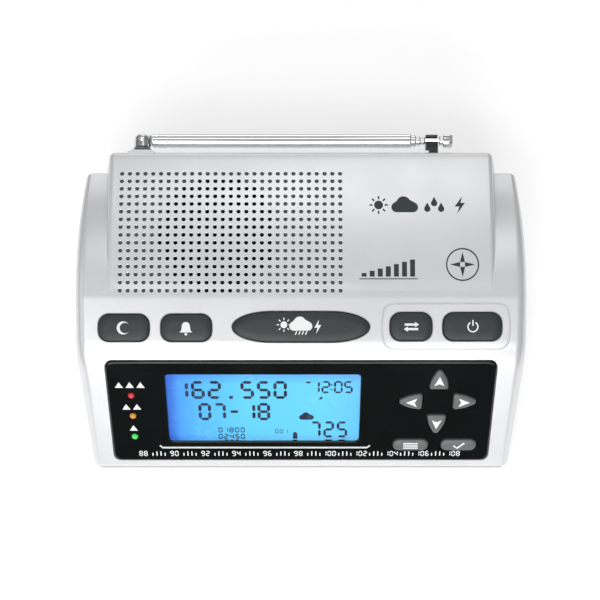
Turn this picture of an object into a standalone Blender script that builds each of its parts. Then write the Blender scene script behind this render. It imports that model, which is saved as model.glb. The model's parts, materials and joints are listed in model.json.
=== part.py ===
"""Desk weather radio with a sloping display panel, a speaker grille pod and a telescopic antenna.

+X runs to the right, +Y to the rear and +Z up. The origin is on the table, under the middle of
the radio. All sizes are in millimetres and become metres where a mesh is made.
"""

import math

import bmesh
import bpy
from mathutils import Matrix, Vector

MM = 0.001
GAP = 0.3

# Housing outline, seen from above.
HALF_WIDTH = 101.3
BOW_CENTRE_Y = -3.0
BOW_RADIUS = 750.0
FRONT_Y = -73.5
SHOULDER_REAR_Y = 56.5
POD_REAR_Y = 62.4
SIDE_ROUND = 5.5
SIDE_ROUND_Y = -15.0
SIDE_ROUND_FADE = 0.6
SIDE_ROUND_REACH = 71.0

# Housing heights, seen from the side.
FOOT_DROP = 1.5
SEAM_Z = 5.0
BELOW_Z = -8.0
WALL = 2.2
FLOOR_TOP_Z = FOOT_DROP + 2.0
PANEL_FOOT = (-71.0, 10.0)
PANEL_ANGLE = math.radians(46.0)
SHELF_START = (-29.67, 52.8)
CREASE = (-4.2, 59.6)
CROWN = (26.6, 64.5)
CROWN_RADIUS = 95.0
SHOULDER_REAR_Z = 54.0
SHELF_ANGLE = math.atan2(CREASE[1] - SHELF_START[1], CREASE[0] - SHELF_START[0])
NOSE_Z = PANEL_FOOT[1] + (FRONT_Y - PANEL_FOOT[0]) * math.tan(PANEL_ANGLE)

# Raised pod that carries the grille.
POD_HALF_WIDTH = 87.2
POD_FRONT_Y = -4.0
POD_APEX = (58.0, 66.4)
POD_RADIUS = 285.0
POD_EDGE_ROUND = 1.5
POD_DRAFT = math.tan(math.radians(12.5))
POD_DRAFT_DEPTH = 13.0
POD_RISE = 6.0
POD_SINK = 0.27
POD_STEPS = 8

# Display panel, in the panel's own frame: x across, y up the slope, z out of it.
PANEL_SIZE = (175.8, 56.6)
PANEL_CENTRE = (0.0, 28.5)
PANEL_CORNER = 3.5
PANEL_BACK = -1.3
PANEL_FACE = 0.6
PANEL_RIM = 3.0
WINDOW_CENTRE = (-17.2, 30.5)
WINDOW_SIZE = (88.3, 38.3)
LED_X = -77.3
LED_HEIGHTS = {"warning_led": 38.0, "watch_led": 26.4, "advisory_led": 14.4}
LED_RADIUS = 1.5
PAD_CENTRE = (62.4, 35.0)
PAD_REACH = {"up": 12.2, "down": 12.8, "left": 12.4, "right": 12.2}
ARROW_KEY = (8.6, 10.4)
SMALL_KEY = (16.4, 6.4)
SMALL_KEYS = {"menu_button": (51.1, 9.8), "select_button": (73.5, 9.8)}
SMALL_KEY_TOP = 1.6
STEM_CLEARANCE = 0.9
DISPLAY_BOARD = (166.0, 49.0)
DISPLAY_BOARD_CENTRE = (0.0, 29.0)
DISPLAY_BOARD_TOP = -8.0
BOARD_THICK = 1.6

# Shelf keys, in the shelf's own frame: centre and size of each.
SHELF_KEYS = {
    "snooze_button": ((-78.9, 12.6), (22.2, 11.6)),
    "alert_button": ((-51.1, 12.6), (22.2, 11.6)),
    "weather_button": ((0.0, 13.0), (60.6, 13.0)),
    "band_button": ((49.0, 13.1), (18.2, 12.0)),
    "radio_button": ((76.3, 13.1), (25.8, 12.0)),
}
SHELF_KEY_TRAVEL = 1.0
KEY_CLEARANCE = 0.4
KEY_BOARD = (172.0, 21.0)
KEY_BOARD_CENTRE = (0.0, 14.5)
KEY_BOARD_TOP = -11.0
CAP_HEIGHT = 1.3

# Speaker, under the left half of the pod.
SPEAKER_CENTRE = (-37.1, 23.7)
SPEAKER_RADIUS = 28.5

# Antenna: sections from the outer tube inwards, as outer and inner radius.
PIN_X = -72.6
ANTENNA_Y = 69.26
ANTENNA_Z = 61.6
SECTIONS = [(3.35, 3.05), (2.8, 2.52), (2.27, 2.0), (1.75, 1.5)]
SECTION_START_X = [-67.9, -60.0, -58.0, -56.0]
SECTION_END_X = [50.4, 52.6, 54.7, 56.7]
ROD_RADIUS = 1.25
ROD_X = (-54.0, 66.0)
TIP_X = (63.4, 69.2)
FORK_END_Y = 73.5
FORK_RADIUS = 3.75
PIN_RADIUS = 0.85
BUSH_RADIUS = 3.6
BUSH_BORE = 1.85
BUSH_FLANGE = 4.2
BOSS_RISE = 1.1
BOSS_HALF_WIDTHS = (6.2, 3.6)
BOSS_Z = (53.5, 65.4, 66.1)
SHAFT_RADIUS = 1.7
EAR_RADIUS = 4.45
FORK_SLOT = 2.0
BLADE_THICK = 1.5
CLIP_X = (57.2, 62.6)
CLIP_ARM = 2.0

# Batteries and the compartment they lie in.
CELL_RADIUS = 7.25
CELL_LENGTH = 50.5
CELL_PITCH = 15.1
CELL_COUNT = 4
BAY = ((9.0, -13.0), (73.0, 49.0))
BAY_ROOF_Z = 19.4
BAY_WALL = 1.6
DOOR_THICK = 1.8
DOOR_Z = FOOT_DROP + DOOR_THICK / 2
DOOR_PEG = 0.55
DOOR_EDGE_GAP = 0.4

# Main board and rear sockets.
MAIN_BOARD_Z = 24.0
MAIN_BOARD = ((-88.0, -36.0), (88.0, 42.0))
SOCKET_Z = 31.0
SOCKET_DEPTH = 13.0
DC_JACK_X = 62.0
ANTENNA_JACK_X = 40.0
ALERT_JACK_X = 22.0
SWITCH_X = 2.0
SWITCH_TRAVEL = 2.5
SCREW_PLACES = [(-91.3, -54.0), (91.3, -54.0), (-91.3, 46.0), (91.3, 46.0)]
FOOT_PLACES = {
    "foot_front_left": (-82.0, -60.0),
    "foot_front_right": (82.0, -60.0),
    "foot_rear_left": (-82.0, 40.0),
    "foot_rear_right": (82.0, 40.0),
}
POST_PLACES = [(-84.0, -30.0), (-84.0, 28.0), (84.0, -30.0), (84.0, 28.0)]


def clear_scene():
    for obj in list(bpy.data.objects):
        bpy.data.objects.remove(obj, do_unlink=True)


def material(name, color, roughness, metallic=0.0, alpha=1.0):
    made = bpy.data.materials.new(name)
    made.use_nodes = True
    shader = made.node_tree.nodes["Principled BSDF"]
    shader.inputs["Base Color"].default_value = (*color, 1.0)
    shader.inputs["Roughness"].default_value = roughness
    shader.inputs["Metallic"].default_value = metallic
    shader.inputs["Alpha"].default_value = alpha
    return made


def frame_at(name, place, tilt=0.0):
    """An empty that carries the pieces which lie in one sloping surface or on one pivot."""
    empty = bpy.data.objects.new(name, None)
    bpy.context.collection.objects.link(empty)
    empty.location = Vector(place) * MM
    empty.rotation_euler = (tilt, 0.0, 0.0)
    return empty


def make(name, mesh_data, look, frame=None, smooth=None, place=(0, 0, 0)):
    """Turns a bmesh in millimetres into a named object."""
    bmesh.ops.scale(mesh_data, vec=(MM, MM, MM), verts=mesh_data.verts)
    bmesh.ops.recalc_face_normals(mesh_data, faces=mesh_data.faces)
    mesh = bpy.data.meshes.new(name)
    mesh_data.to_mesh(mesh)
    mesh_data.free()
    if look:
        mesh.materials.append(look)
    obj = bpy.data.objects.new(name, mesh)
    bpy.context.collection.objects.link(obj)
    obj.location = Vector(place) * MM
    if frame:
        obj.parent = frame
    if smooth:
        mesh.shade_smooth()
        mesh.set_sharp_from_angle(angle=math.radians(smooth))
    return obj


def helper(name, mesh_data, frame=None):
    """A solid that only shapes others, so it is no piece of its own."""
    obj = make(name, mesh_data, None, frame)
    obj.hide_render = True
    obj.display_type = "WIRE"
    return obj


def combine(target, other, operation):
    modifier = target.modifiers.new(f"{operation.lower()} {other.name}", "BOOLEAN")
    modifier.object = other
    modifier.operation = operation
    modifier.solver = "EXACT"


def cut(target, *others):
    for other in others:
        combine(target, other, "DIFFERENCE")


def weld(target, *others):
    for other in others:
        combine(target, other, "UNION")


# Outlines, as lists of (x, y) running anticlockwise.


def rounded_rectangle(width, height, radius, steps=3):
    points = []
    for quarter in range(4):
        across = width / 2 - radius if quarter in (0, 3) else radius - width / 2
        up = height / 2 - radius if quarter in (0, 1) else radius - height / 2
        for step in range(steps + 1):
            angle = math.radians(90 * (quarter + step / steps))
            points.append((across + radius * math.cos(angle), up + radius * math.sin(angle)))
    return points


def bowed_rectangle(width, height, radius, bow=1.2, steps=3):
    """A rounded rectangle whose two short ends swell outwards in the middle."""
    points = []
    for x, y in rounded_rectangle(width - 2 * bow, height, radius, steps):
        swell = bow * (1 - (2 * y / height) ** 2)
        points.append((x + math.copysign(swell, x), y))
    ends = []
    for index, (x, y) in enumerate(points):
        ends.append((x, y))
        following = points[(index + 1) % len(points)]
        if x * following[0] > 0 and y * following[1] < 0:
            ends.append((math.copysign(width / 2, x), 0.0))
    return ends


def long_oval(width, height, flat_share=0.42, steps=8):
    """Straight along the middle, with a half ellipse at each end."""
    flat = width / 2 * flat_share
    reach = width / 2 - flat
    points = []
    for side in (1, -1):
        for step in range(steps + 1):
            angle = math.radians(-90 + 180 * step / steps)
            x = side * (flat + reach * math.cos(angle))
            points.append((x, side * height / 2 * math.sin(angle)))
    return points


def pointed_key(width, height, steps=4):
    """A flat base and two curved sides that meet in a round tip at +y."""
    base_round = 1.2
    tip_round = 1.6
    left = []
    for step in range(steps + 1):
        angle = math.radians(90 + 60 * step / steps)
        left.append((tip_round * math.cos(angle), height / 2 - tip_round * (1 - math.sin(angle))))
    shoulder = left[-1]
    foot = (-width / 2, -height / 2 + base_round)
    for step in range(1, steps):
        share = step / steps
        swell = 0.5 * math.sin(math.pi * share)
        x = shoulder[0] + (foot[0] - shoulder[0]) * share - swell
        left.append((x, shoulder[1] + (foot[1] - shoulder[1]) * share + swell * 0.5))
    left.append(foot)
    left.append((-width / 2 + base_round * 0.3, -height / 2 + base_round * 0.3))
    left.append((-width / 2 + base_round, -height / 2))
    right = [(-x, y) for x, y in reversed(left[1:])]
    return left + right


def circle(radius, steps=16):
    return [
        (radius * math.cos(math.tau * n / steps), radius * math.sin(math.tau * n / steps))
        for n in range(steps)
    ]


def arc(radius, start, end, steps):
    angles = [math.radians(start + (end - start) * n / steps) for n in range(steps + 1)]
    return [(radius * math.cos(angle), radius * math.sin(angle)) for angle in angles]


def moved(outline, centre):
    return [(x + centre[0], y + centre[1]) for x, y in outline]


def inset(outline, distance):
    """The outline squeezed towards its middle until each side has moved in by the distance."""
    lows = [min(point[k] for point in outline) for k in (0, 1)]
    highs = [max(point[k] for point in outline) for k in (0, 1)]
    middle = [(low + high) / 2 for low, high in zip(lows, highs)]
    share = [1 - 2 * distance / (high - low) for low, high in zip(lows, highs)]
    return [tuple(middle[k] + (point[k] - middle[k]) * share[k] for k in (0, 1)) for point in outline]


# Solids added to a bmesh, in millimetres.


def add_tower(shape, layers, turn=None):
    """Joins closed outlines with the same number of points, given as (outline, z) from the bottom up."""
    rings = []
    for outline, z in layers:
        ring = [shape.verts.new((x, y, z)) for x, y in outline]
        rings.append(ring)
    for lower, upper in zip(rings, rings[1:]):
        count = len(lower)
        for n in range(count):
            after = (n + 1) % count
            shape.faces.new((lower[n], lower[after], upper[after], upper[n]))
    shape.faces.new(list(reversed(rings[0])))
    shape.faces.new(rings[-1])
    if turn:
        verts = [vert for ring in rings for vert in ring]
        bmesh.ops.transform(shape, matrix=turn, verts=verts)


def add_box(shape, low, high):
    corners = [(low[0], low[1]), (high[0], low[1]), (high[0], high[1]), (low[0], high[1])]
    add_tower(shape, [(corners, low[2]), (corners, high[2])])


def add_turned(shape, profile, steps=20, turn=None):
    """Spins a closed profile of (radius, height) about Z. A radius of 0 makes a pole."""
    rings = []
    for radius, height in profile:
        if radius == 0:
            rings.append([shape.verts.new((0, 0, height))])
        else:
            rings.append([shape.verts.new((x, y, height)) for x, y in circle(radius, steps)])
    last = len(profile) if profile[0][0] > 0 else len(profile) - 1
    for n in range(last):
        lower = rings[n]
        upper = rings[(n + 1) % len(rings)]
        for k in range(steps):
            after = (k + 1) % steps
            corners = [lower[k % len(lower)], lower[after % len(lower)]]
            corners += [upper[after % len(upper)], upper[k % len(upper)]]
            unique = list(dict.fromkeys(corners))
            if len(unique) > 2:
                shape.faces.new(unique)
    if turn:
        verts = [vert for ring in rings for vert in ring]
        bmesh.ops.transform(shape, matrix=turn, verts=verts)


def along_x(place=(0, 0, 0)):
    """Turns a shape's +Z to +X."""
    return Matrix.Translation(place) @ Matrix.Rotation(math.radians(90), 4, "Y")


def along_y(place=(0, 0, 0)):
    """Turns a shape's +Z to +Y."""
    return Matrix.Translation(place) @ Matrix.Rotation(math.radians(-90), 4, "X")


def solid_turned(name, profile, look, frame=None, turn=None, steps=20, place=(0, 0, 0)):
    shape = bmesh.new()
    add_turned(shape, profile, steps, turn)
    return make(name, shape, look, frame, smooth=35, place=place)


def solid_tower(name, layers, look, frame=None, place=(0, 0, 0)):
    shape = bmesh.new()
    add_tower(shape, layers)
    return make(name, shape, look, frame, smooth=35, place=place)


def solid_box(name, low, high, look, frame=None):
    shape = bmesh.new()
    add_box(shape, low, high)
    return make(name, shape, look, frame)


def boxes(*pairs):
    shape = bmesh.new()
    for low, high in pairs:
        add_box(shape, low, high)
    return shape


def towers(*stacks):
    shape = bmesh.new()
    for layers in stacks:
        add_tower(shape, layers)
    return shape


# The housing.


def half_width(y):
    """Half of the housing's width at y: the sides are shallow arcs."""
    return HALF_WIDTH - (y - BOW_CENTRE_Y) ** 2 / (2 * BOW_RADIUS)


def pod_top(y):
    return POD_APEX[1] - (y - POD_APEX[0]) ** 2 / (2 * POD_RADIUS)


def offset_chain(corners, distance):
    """An open chain of (y, z, radius) corners, moved inwards, with the round corners drawn as arcs."""
    lines = []
    for start, end in zip(corners, corners[1:]):
        along = (Vector(end[:2]) - Vector(start[:2])).normalized()
        inwards = Vector((along.y, -along.x))
        lines.append((Vector(start[:2]) + inwards * distance, along))
    points = []
    for n, (first, second) in enumerate(zip(lines, lines[1:])):
        across = first[1].x * second[1].y - first[1].y * second[1].x
        apart = second[0] - first[0]
        reach = (apart.x * second[1].y - apart.y * second[1].x) / across
        corner = first[0] + first[1] * reach
        radius, steps = corners[n + 1][2:]
        points += rounded_corner(corner, first[1], second[1], max(radius - distance, 0.15), steps)
    return points


def rounded_corner(corner, arriving, leaving, radius, steps):
    if not steps:
        return [tuple(corner)]
    bend = arriving.angle(leaving)
    tangent = radius * math.tan(bend / 2)
    centre = corner - arriving * tangent + Vector((arriving.y, -arriving.x)) * radius
    start = Vector((-arriving.y, arriving.x)) * radius
    points = []
    for step in range(steps + 1):
        angle = -bend * step / steps
        turned = Matrix.Rotation(angle, 2) @ start
        points.append(tuple(centre + turned))
    return points


def body_corners():
    """The housing's side profile as (y, z, corner radius, arc steps), from the front up and over."""
    return [
        (FRONT_Y, BELOW_Z, 0, 0),
        (FRONT_Y, NOSE_Z, 2.5, 3),
        (*SHELF_START, 8.0, 4),
        (*CREASE, 20.0, 1),
        (*CROWN, CROWN_RADIUS, 8),
        (SHOULDER_REAR_Y, SHOULDER_REAR_Z, 1.6, 2),
        (SHOULDER_REAR_Y, BELOW_Z, 0, 0),
    ]


def stations(radius, steps=4):
    """(side, distance in from the side, drop from the top) across the form, from left to right."""
    left = []
    for step in range(steps + 1):
        angle = math.radians(90 - 90 * step / steps)
        left.append((-1, radius * (1 - math.sin(angle)), radius * (1 - math.cos(angle))))
    right = [(1, back, drop) for side, back, drop in reversed(left)]
    return left + right


def add_loft(shape, sections):
    """Skins rows of sections, each a list of columns, and each column a list of points going down."""
    grid = [[[shape.verts.new(p) for p in column] for column in section] for section in sections]
    columns = len(grid[0])
    levels = len(grid[0][0])
    for left, right in zip(grid, grid[1:]):
        for n in range(columns - 1):
            shape.faces.new((left[n][0], right[n][0], right[n + 1][0], left[n + 1][0]))
            shape.faces.new((left[n][-1], left[n + 1][-1], right[n + 1][-1], right[n][-1]))
        for level in range(levels - 1):
            for n in (0, columns - 1):
                quad = (left[n][level], left[n][level + 1], right[n][level + 1], right[n][level])
                shape.faces.new(quad)
    for section in (grid[0], grid[-1]):
        for n in range(columns - 1):
            for level in range(levels - 1):
                upper = (section[n][level], section[n + 1][level])
                lower = (section[n + 1][level + 1], section[n][level + 1])
                shape.faces.new(upper + lower)


def side_round_share(y):
    """The side edges are rounded most beside the keys and less towards the front and the rear."""
    return 1 - SIDE_ROUND_FADE * ((y - SIDE_ROUND_Y) / SIDE_ROUND_REACH) ** 2


def body_loft(thinner=0.0):
    """The whole outer form without the pod, or the same form thinner by a wall."""
    shape = bmesh.new()
    sections = []
    full = offset_chain(body_corners(), thinner)
    for side, back, drop in stations(SIDE_ROUND):
        columns = []
        for crest, dropped in zip(full, offset_chain(body_corners(), drop + thinner)):
            share = side_round_share(crest[0])
            y = crest[0] + (dropped[0] - crest[0]) * share
            z = crest[1] + (dropped[1] - crest[1]) * share
            x = side * (half_width(y) - thinner - back * share)
            columns.append([(x, y, z), (x, y, BELOW_Z)])
        sections.append(columns)
    add_loft(shape, sections)
    return shape


def pod_loft(thinner=0.0):
    """The grille pod, a drafted block that grows out of the shelf and stands proud at the rear."""
    shape = bmesh.new()
    front = POD_FRONT_Y + thinner
    level = front + POD_RISE
    sections = []
    for side, back, drop in stations(POD_EDGE_ROUND, 2):
        edge = max(POD_EDGE_ROUND - drop, 0.15)
        rear = POD_REAR_Y - thinner - drop
        columns = [pod_column(side, front, pod_top(front) - POD_SINK, back, drop, thinner)]
        for step in range(POD_STEPS + 1):
            y = level + (rear - edge - level) * step / POD_STEPS
            columns.append(pod_column(side, y, pod_top(y), back, drop, thinner))
        for step in (1, 2):
            angle = math.radians(45 * step)
            y = rear - edge * (1 - math.sin(angle))
            top = pod_top(y) - edge * (1 - math.cos(angle))
            columns.append(pod_column(side, y, top, back, drop, thinner))
        sections.append(columns)
    add_loft(shape, sections)
    return shape


def pod_column(side, y, top, back, drop, thinner):
    z = top - drop - thinner
    x = POD_HALF_WIDTH - thinner - back
    foot = x + POD_DRAFT_DEPTH * POD_DRAFT
    return [(side * x, y, z), (side * foot, y, z - POD_DRAFT_DEPTH), (side * foot, y, BELOW_Z)]


def below(z):
    far = 150.0
    return boxes(((-far, -far, -40.0), (far, far, z)))


def above(z):
    far = 150.0
    return boxes(((-far, -far, z), (far, far, 100.0)))


def screw_posts(radius, low, high):
    shape = bmesh.new()
    for place in SCREW_PLACES:
        outline = moved(circle(radius, 16), place)
        add_tower(shape, [(outline, low), (outline, high)])
    return shape


def key_outline(name, size):
    if name == "weather_button":
        return long_oval(*size)
    return bowed_rectangle(*size, radius=3.4)


def panel_outline(grow=0.0):
    outline = rounded_rectangle(*PANEL_SIZE, PANEL_CORNER, 4)
    return moved(inset(outline, -grow), PANEL_CENTRE)


def antenna_boss():
    """A seat for the antenna that swells out of the pod's rear wall."""
    wide, narrow = BOSS_HALF_WIDTHS
    root = POD_REAR_Y - WALL / 2
    face = POD_REAR_Y + BOSS_RISE
    outline = [
        (PIN_X - wide, root),
        (PIN_X + wide, root),
        (PIN_X + wide, POD_REAR_Y),
        (PIN_X + narrow, face),
        (PIN_X - narrow, face),
        (PIN_X - wide, POD_REAR_Y),
    ]
    low, middle, high = BOSS_Z
    return towers([(outline, low), (outline, middle), (inset(outline, 0.4), high)])


def make_top_case(look, panel_frame, shelf_frame):
    case = make("top_case", body_loft(), look, smooth=30)
    weld(case, helper("pod_form", pod_loft()), helper("antenna_boss", antenna_boss()))
    cut(case, helper("below_seam", below(SEAM_Z)))
    hollow = helper("case_hollow", body_loft(WALL))
    weld(hollow, helper("pod_hollow", pod_loft(WALL)))
    cut(hollow, helper("upper_screw_posts", screw_posts(3.4, SEAM_Z + 0.6, 70.0)))
    cut(case, hollow)
    cut(case, helper("upper_screw_bores", screw_posts(1.6, -20.0, 16.0)))

    ledge_cut = towers([(panel_outline(GAP), PANEL_BACK - GAP), (panel_outline(GAP), 12.0)])
    cut(case, helper("panel_recess", ledge_cut, panel_frame))
    opening = inset(panel_outline(), PANEL_RIM)
    cut(case, helper("panel_opening", towers([(opening, -9.0), (opening, 4.0)]), panel_frame))

    holes = bmesh.new()
    for name, (centre, size) in SHELF_KEYS.items():
        outline = moved(inset(key_outline(name, size), -KEY_CLEARANCE), centre)
        add_tower(holes, [(outline, -6.0), (outline, 6.0)])
    cut(case, helper("shelf_key_holes", holes, shelf_frame))

    rear_holes = bmesh.new()
    through = [(4.7, DC_JACK_X), (3.6, ANTENNA_JACK_X), (3.2, ALERT_JACK_X)]
    for radius, x in through:
        outline = circle(radius, 16)
        turn = along_y((x, POD_REAR_Y - 6.0, SOCKET_Z))
        add_tower(rear_holes, [(outline, 0.0), (outline, 12.0)], turn)
    turn = along_y((PIN_X, POD_REAR_Y - 6.0, ANTENNA_Z))
    bush_hole = circle(BUSH_RADIUS + GAP, 16)
    add_tower(rear_holes, [(bush_hole, 0.0), (bush_hole, 12.0)], turn)
    slot_low = (SWITCH_X - 4.5, POD_REAR_Y - 6.0, SOCKET_Z - 1.9)
    slot_high = (SWITCH_X + 4.5, POD_REAR_Y + 6.0, SOCKET_Z + 1.9)
    add_box(rear_holes, slot_low, slot_high)
    cut(case, helper("rear_openings", rear_holes))
    return case


def make_bottom_case(look):
    case = make("bottom_case", body_loft(), look, smooth=30)
    weld(case, helper("pod_foot_form", pod_loft()))
    cut(case, helper("below_floor", below(FOOT_DROP)))
    cut(case, helper("above_seam", above(SEAM_Z - GAP)))
    hollow = helper("tray_hollow", body_loft(WALL))
    weld(hollow, helper("tray_pod_hollow", pod_loft(WALL)))
    cut(hollow, helper("under_floor", below(FLOOR_TOP_Z)))
    cut(hollow, helper("lower_screw_posts", screw_posts(4.3, -20.0, 70.0)))
    cut(case, hollow)

    (left, front), (right, rear) = BAY
    wall = BAY_WALL
    bay_low = (left - wall, front - wall, FLOOR_TOP_Z - 1.0)
    bay_high = (right + wall, rear + wall, BAY_ROOF_Z + wall)
    weld(case, helper("battery_box", boxes((bay_low, bay_high))))
    posts = bmesh.new()
    for place in POST_PLACES:
        outline = moved(circle(2.6, 12), place)
        add_tower(posts, [(outline, FLOOR_TOP_Z - 1.0), (outline, MAIN_BOARD_Z - GAP)])
    weld(case, helper("board_posts", posts))
    bay_pocket = boxes(((left, front, -20.0), (right, rear, BAY_ROOF_Z)))
    cut(case, helper("battery_pocket", bay_pocket))

    openings = bmesh.new()
    for place in SCREW_PLACES:
        wide = moved(circle(3.2, 16), place)
        narrow = moved(circle(1.7, 16), place)
        add_tower(openings, [(wide, -10.0), (wide, 3.2), (narrow, 3.2), (narrow, 20.0)])
    for place in FOOT_PLACES.values():
        outline = moved(circle(6.3, 20), place)
        add_tower(openings, [(outline, -10.0), (outline, FOOT_DROP + 1.0)])
    peg = circle(DOOR_PEG + 0.2, 12)
    turn = along_x((left - 1.2, front + DOOR_EDGE_GAP + DOOR_THICK / 2, DOOR_Z))
    add_tower(openings, [(peg, 0.0), (peg, right - left + 2.4)], turn)
    notch_low = ((left + right) / 2 - 7.0, rear - 1.0, -10.0)
    notch_high = ((left + right) / 2 + 7.0, rear + 5.0, FOOT_DROP + 1.0)
    add_box(openings, notch_low, notch_high)
    cut(case, helper("floor_openings", openings))
    return case


def make_battery_door(look):
    """The door turns down about two small pegs along its front edge, which is rounded about them."""
    (left, front), (right, rear) = BAY
    radius = DOOR_THICK / 2
    width = right - left - 2 * DOOR_EDGE_GAP
    depth = rear - front - 2 * DOOR_EDGE_GAP
    outline = [(depth - radius, radius), (0.0, radius)]
    for step in range(1, 6):
        angle = math.radians(90 + 180 * step / 6)
        outline.append((radius * math.cos(angle), radius * math.sin(angle)))
    outline += [(0.0, -radius), (depth - radius, -radius)]
    to_side = Matrix.Rotation(math.radians(90), 4, "Z") @ Matrix.Rotation(math.radians(90), 4, "X")
    turn = Matrix.Translation((left + DOOR_EDGE_GAP, 0, 0)) @ to_side
    shape = bmesh.new()
    add_tower(shape, [(outline, 0.0), (outline, width)], turn)
    pivot = (0.0, front + DOOR_EDGE_GAP + radius, DOOR_Z)
    door = make("battery_door", shape, look, place=pivot)
    pegs = bmesh.new()
    reach = right - left + 1.6
    peg = circle(DOOR_PEG, 12)
    add_tower(pegs, [(peg, 0.0), (peg, reach)], along_x((left - 0.8, 0, 0)))
    peg_form = helper("door_pegs", pegs)
    peg_form.location = door.location
    weld(door, peg_form)
    grip = bmesh.new()
    middle = (left + right) / 2
    for n in range(3):
        y = depth - 9.0 + 2.4 * n
        add_box(grip, (middle - 9.0, y, -3.0), (middle + 9.0, y + 1.2, -radius + 0.5))
    grip_form = helper("door_grip", grip)
    grip_form.location = door.location
    cut(door, grip_form)
    return door


# The display panel and what sits behind it.


def window_outline(grow=0.0):
    outline = rounded_rectangle(*WINDOW_SIZE, 1.5, 2)
    return moved(inset(outline, -grow), WINDOW_CENTRE)


def arrow_outline(direction, grow=0.0):
    turns = {"up": 0, "left": 1, "down": 2, "right": 3}
    angle = math.radians(90 * turns[direction])
    outline = inset(pointed_key(*ARROW_KEY), -grow)
    reach = PAD_REACH[direction]
    points = []
    for x, y in outline:
        spot = Matrix.Rotation(angle, 2) @ Vector((x, y + reach))
        points.append((spot.x + PAD_CENTRE[0], spot.y + PAD_CENTRE[1]))
    return points


def small_key_outline(name, grow=0.0):
    outline = inset(bowed_rectangle(*SMALL_KEY, radius=2.2, bow=0.8, steps=2), -grow)
    return moved(outline, SMALL_KEYS[name])


def make_front_panel(look, frame):
    outline = panel_outline()
    layers = [
        (outline, PANEL_BACK),
        (outline, PANEL_FACE - 0.5),
        (inset(outline, 0.6), PANEL_FACE),
    ]
    panel = solid_tower("front_panel", layers, look, frame)
    holes = bmesh.new()
    window = window_outline()
    add_tower(holes, [(window, -4.0), (window, 4.0)])
    for height in LED_HEIGHTS.values():
        outline = moved(circle(LED_RADIUS + GAP, 12), (LED_X, height))
        add_tower(holes, [(outline, -4.0), (outline, 4.0)])
    for direction in PAD_REACH:
        outline = arrow_outline(direction, KEY_CLEARANCE)
        add_tower(holes, [(outline, -4.0), (outline, 4.0)])
    for name in SMALL_KEYS:
        outline = small_key_outline(name, KEY_CLEARANCE)
        add_tower(holes, [(outline, -4.0), (outline, 4.0)])
    cut(panel, helper("panel_holes", holes, frame))
    return panel


def make_display(looks, frame):
    lens = window_outline(-GAP)
    layers = [(lens, -1.1), (lens, -0.1)]
    solid_tower("lcd_window", layers, looks["clear"], frame)
    glass = window_outline(1.6)
    solid_tower("lcd_glass", [(glass, -4.6), (glass, -2.2)], looks["lcd"], frame)
    solid_tower("lcd_backlight", [(glass, -7.4), (glass, -4.9)], looks["light"], frame)
    ring_out = window_outline(3.4)
    ring = solid_tower("lcd_frame", [(ring_out, -7.6), (ring_out, -1.9)], looks["white"], frame)
    ring_in = window_outline(1.9)
    cut(ring, helper("lcd_frame_opening", towers([(ring_in, -12.0), (ring_in, 4.0)]), frame))
    for name, height in LED_HEIGHTS.items():
        profile = [
            (0, -7.6),
            (LED_RADIUS + 0.35, -7.6),
            (LED_RADIUS + 0.35, -6.6),
            (LED_RADIUS, -6.6),
            (LED_RADIUS, PANEL_FACE - 0.2),
            (LED_RADIUS * 0.7, PANEL_FACE + 0.5),
            (0, PANEL_FACE + 0.8),
        ]
        place = (LED_X, height, 0.0)
        solid_turned(name, profile, looks[name], frame, steps=12, place=place)


def make_panel_keys(look, frame):
    """Each key is a cap in its hole, a flange behind the panel, and a stem over its switch."""
    stem_end = DISPLAY_BOARD_TOP + STEM_CLEARANCE
    for direction in PAD_REACH:
        cap = arrow_outline(direction)
        flange = arrow_outline(direction, KEY_CLEARANCE + 0.7)
        stem = arrow_outline(direction, -2.6)
        add_key(f"{direction}_button", cap, flange, stem, stem_end, SMALL_KEY_TOP, look, frame)
    for name in SMALL_KEYS:
        cap = small_key_outline(name)
        flange = small_key_outline(name, KEY_CLEARANCE + 0.7)
        stem = small_key_outline(name, -1.8)
        add_key(name, cap, flange, stem, stem_end, SMALL_KEY_TOP, look, frame)


def add_key(name, cap, flange, stem, stem_end, top, look, frame, seat=PANEL_BACK - 2 * GAP):
    layers = [
        (stem, stem_end),
        (stem, seat - 0.7),
        (flange, seat - 0.7),
        (flange, seat),
        (cap, seat),
        (cap, top - 0.4),
        (inset(cap, 0.5), top),
    ]
    return solid_tower(name, layers, look, frame)


def make_boards(look, panel_frame, shelf_frame):
    back = DISPLAY_BOARD_TOP - BOARD_THICK
    board = moved(rounded_rectangle(*DISPLAY_BOARD, 1.5, 1), DISPLAY_BOARD_CENTRE)
    layers = [(board, back), (board, DISPLAY_BOARD_TOP)]
    solid_tower("display_board", layers, look, panel_frame)
    board = moved(rounded_rectangle(*KEY_BOARD, 1.5, 1), KEY_BOARD_CENTRE)
    layers = [(board, KEY_BOARD_TOP - BOARD_THICK), (board, KEY_BOARD_TOP)]
    solid_tower("key_board", layers, look, shelf_frame)


def make_shelf_keys(look, frame):
    for name, (centre, size) in SHELF_KEYS.items():
        outline = key_outline(name, size)
        cap = moved(outline, centre)
        flange = moved(inset(outline, -KEY_CLEARANCE - 0.8), centre)
        stem = moved([(x * 0.5, y * 0.5) for x, y in outline], centre)
        stem_end = KEY_BOARD_TOP + SHELF_KEY_TRAVEL + 0.5
        seat = -WALL - GAP
        add_key(name, cap, flange, stem, stem_end, CAP_HEIGHT, look, frame, seat)


# Inside the housing.


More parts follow.
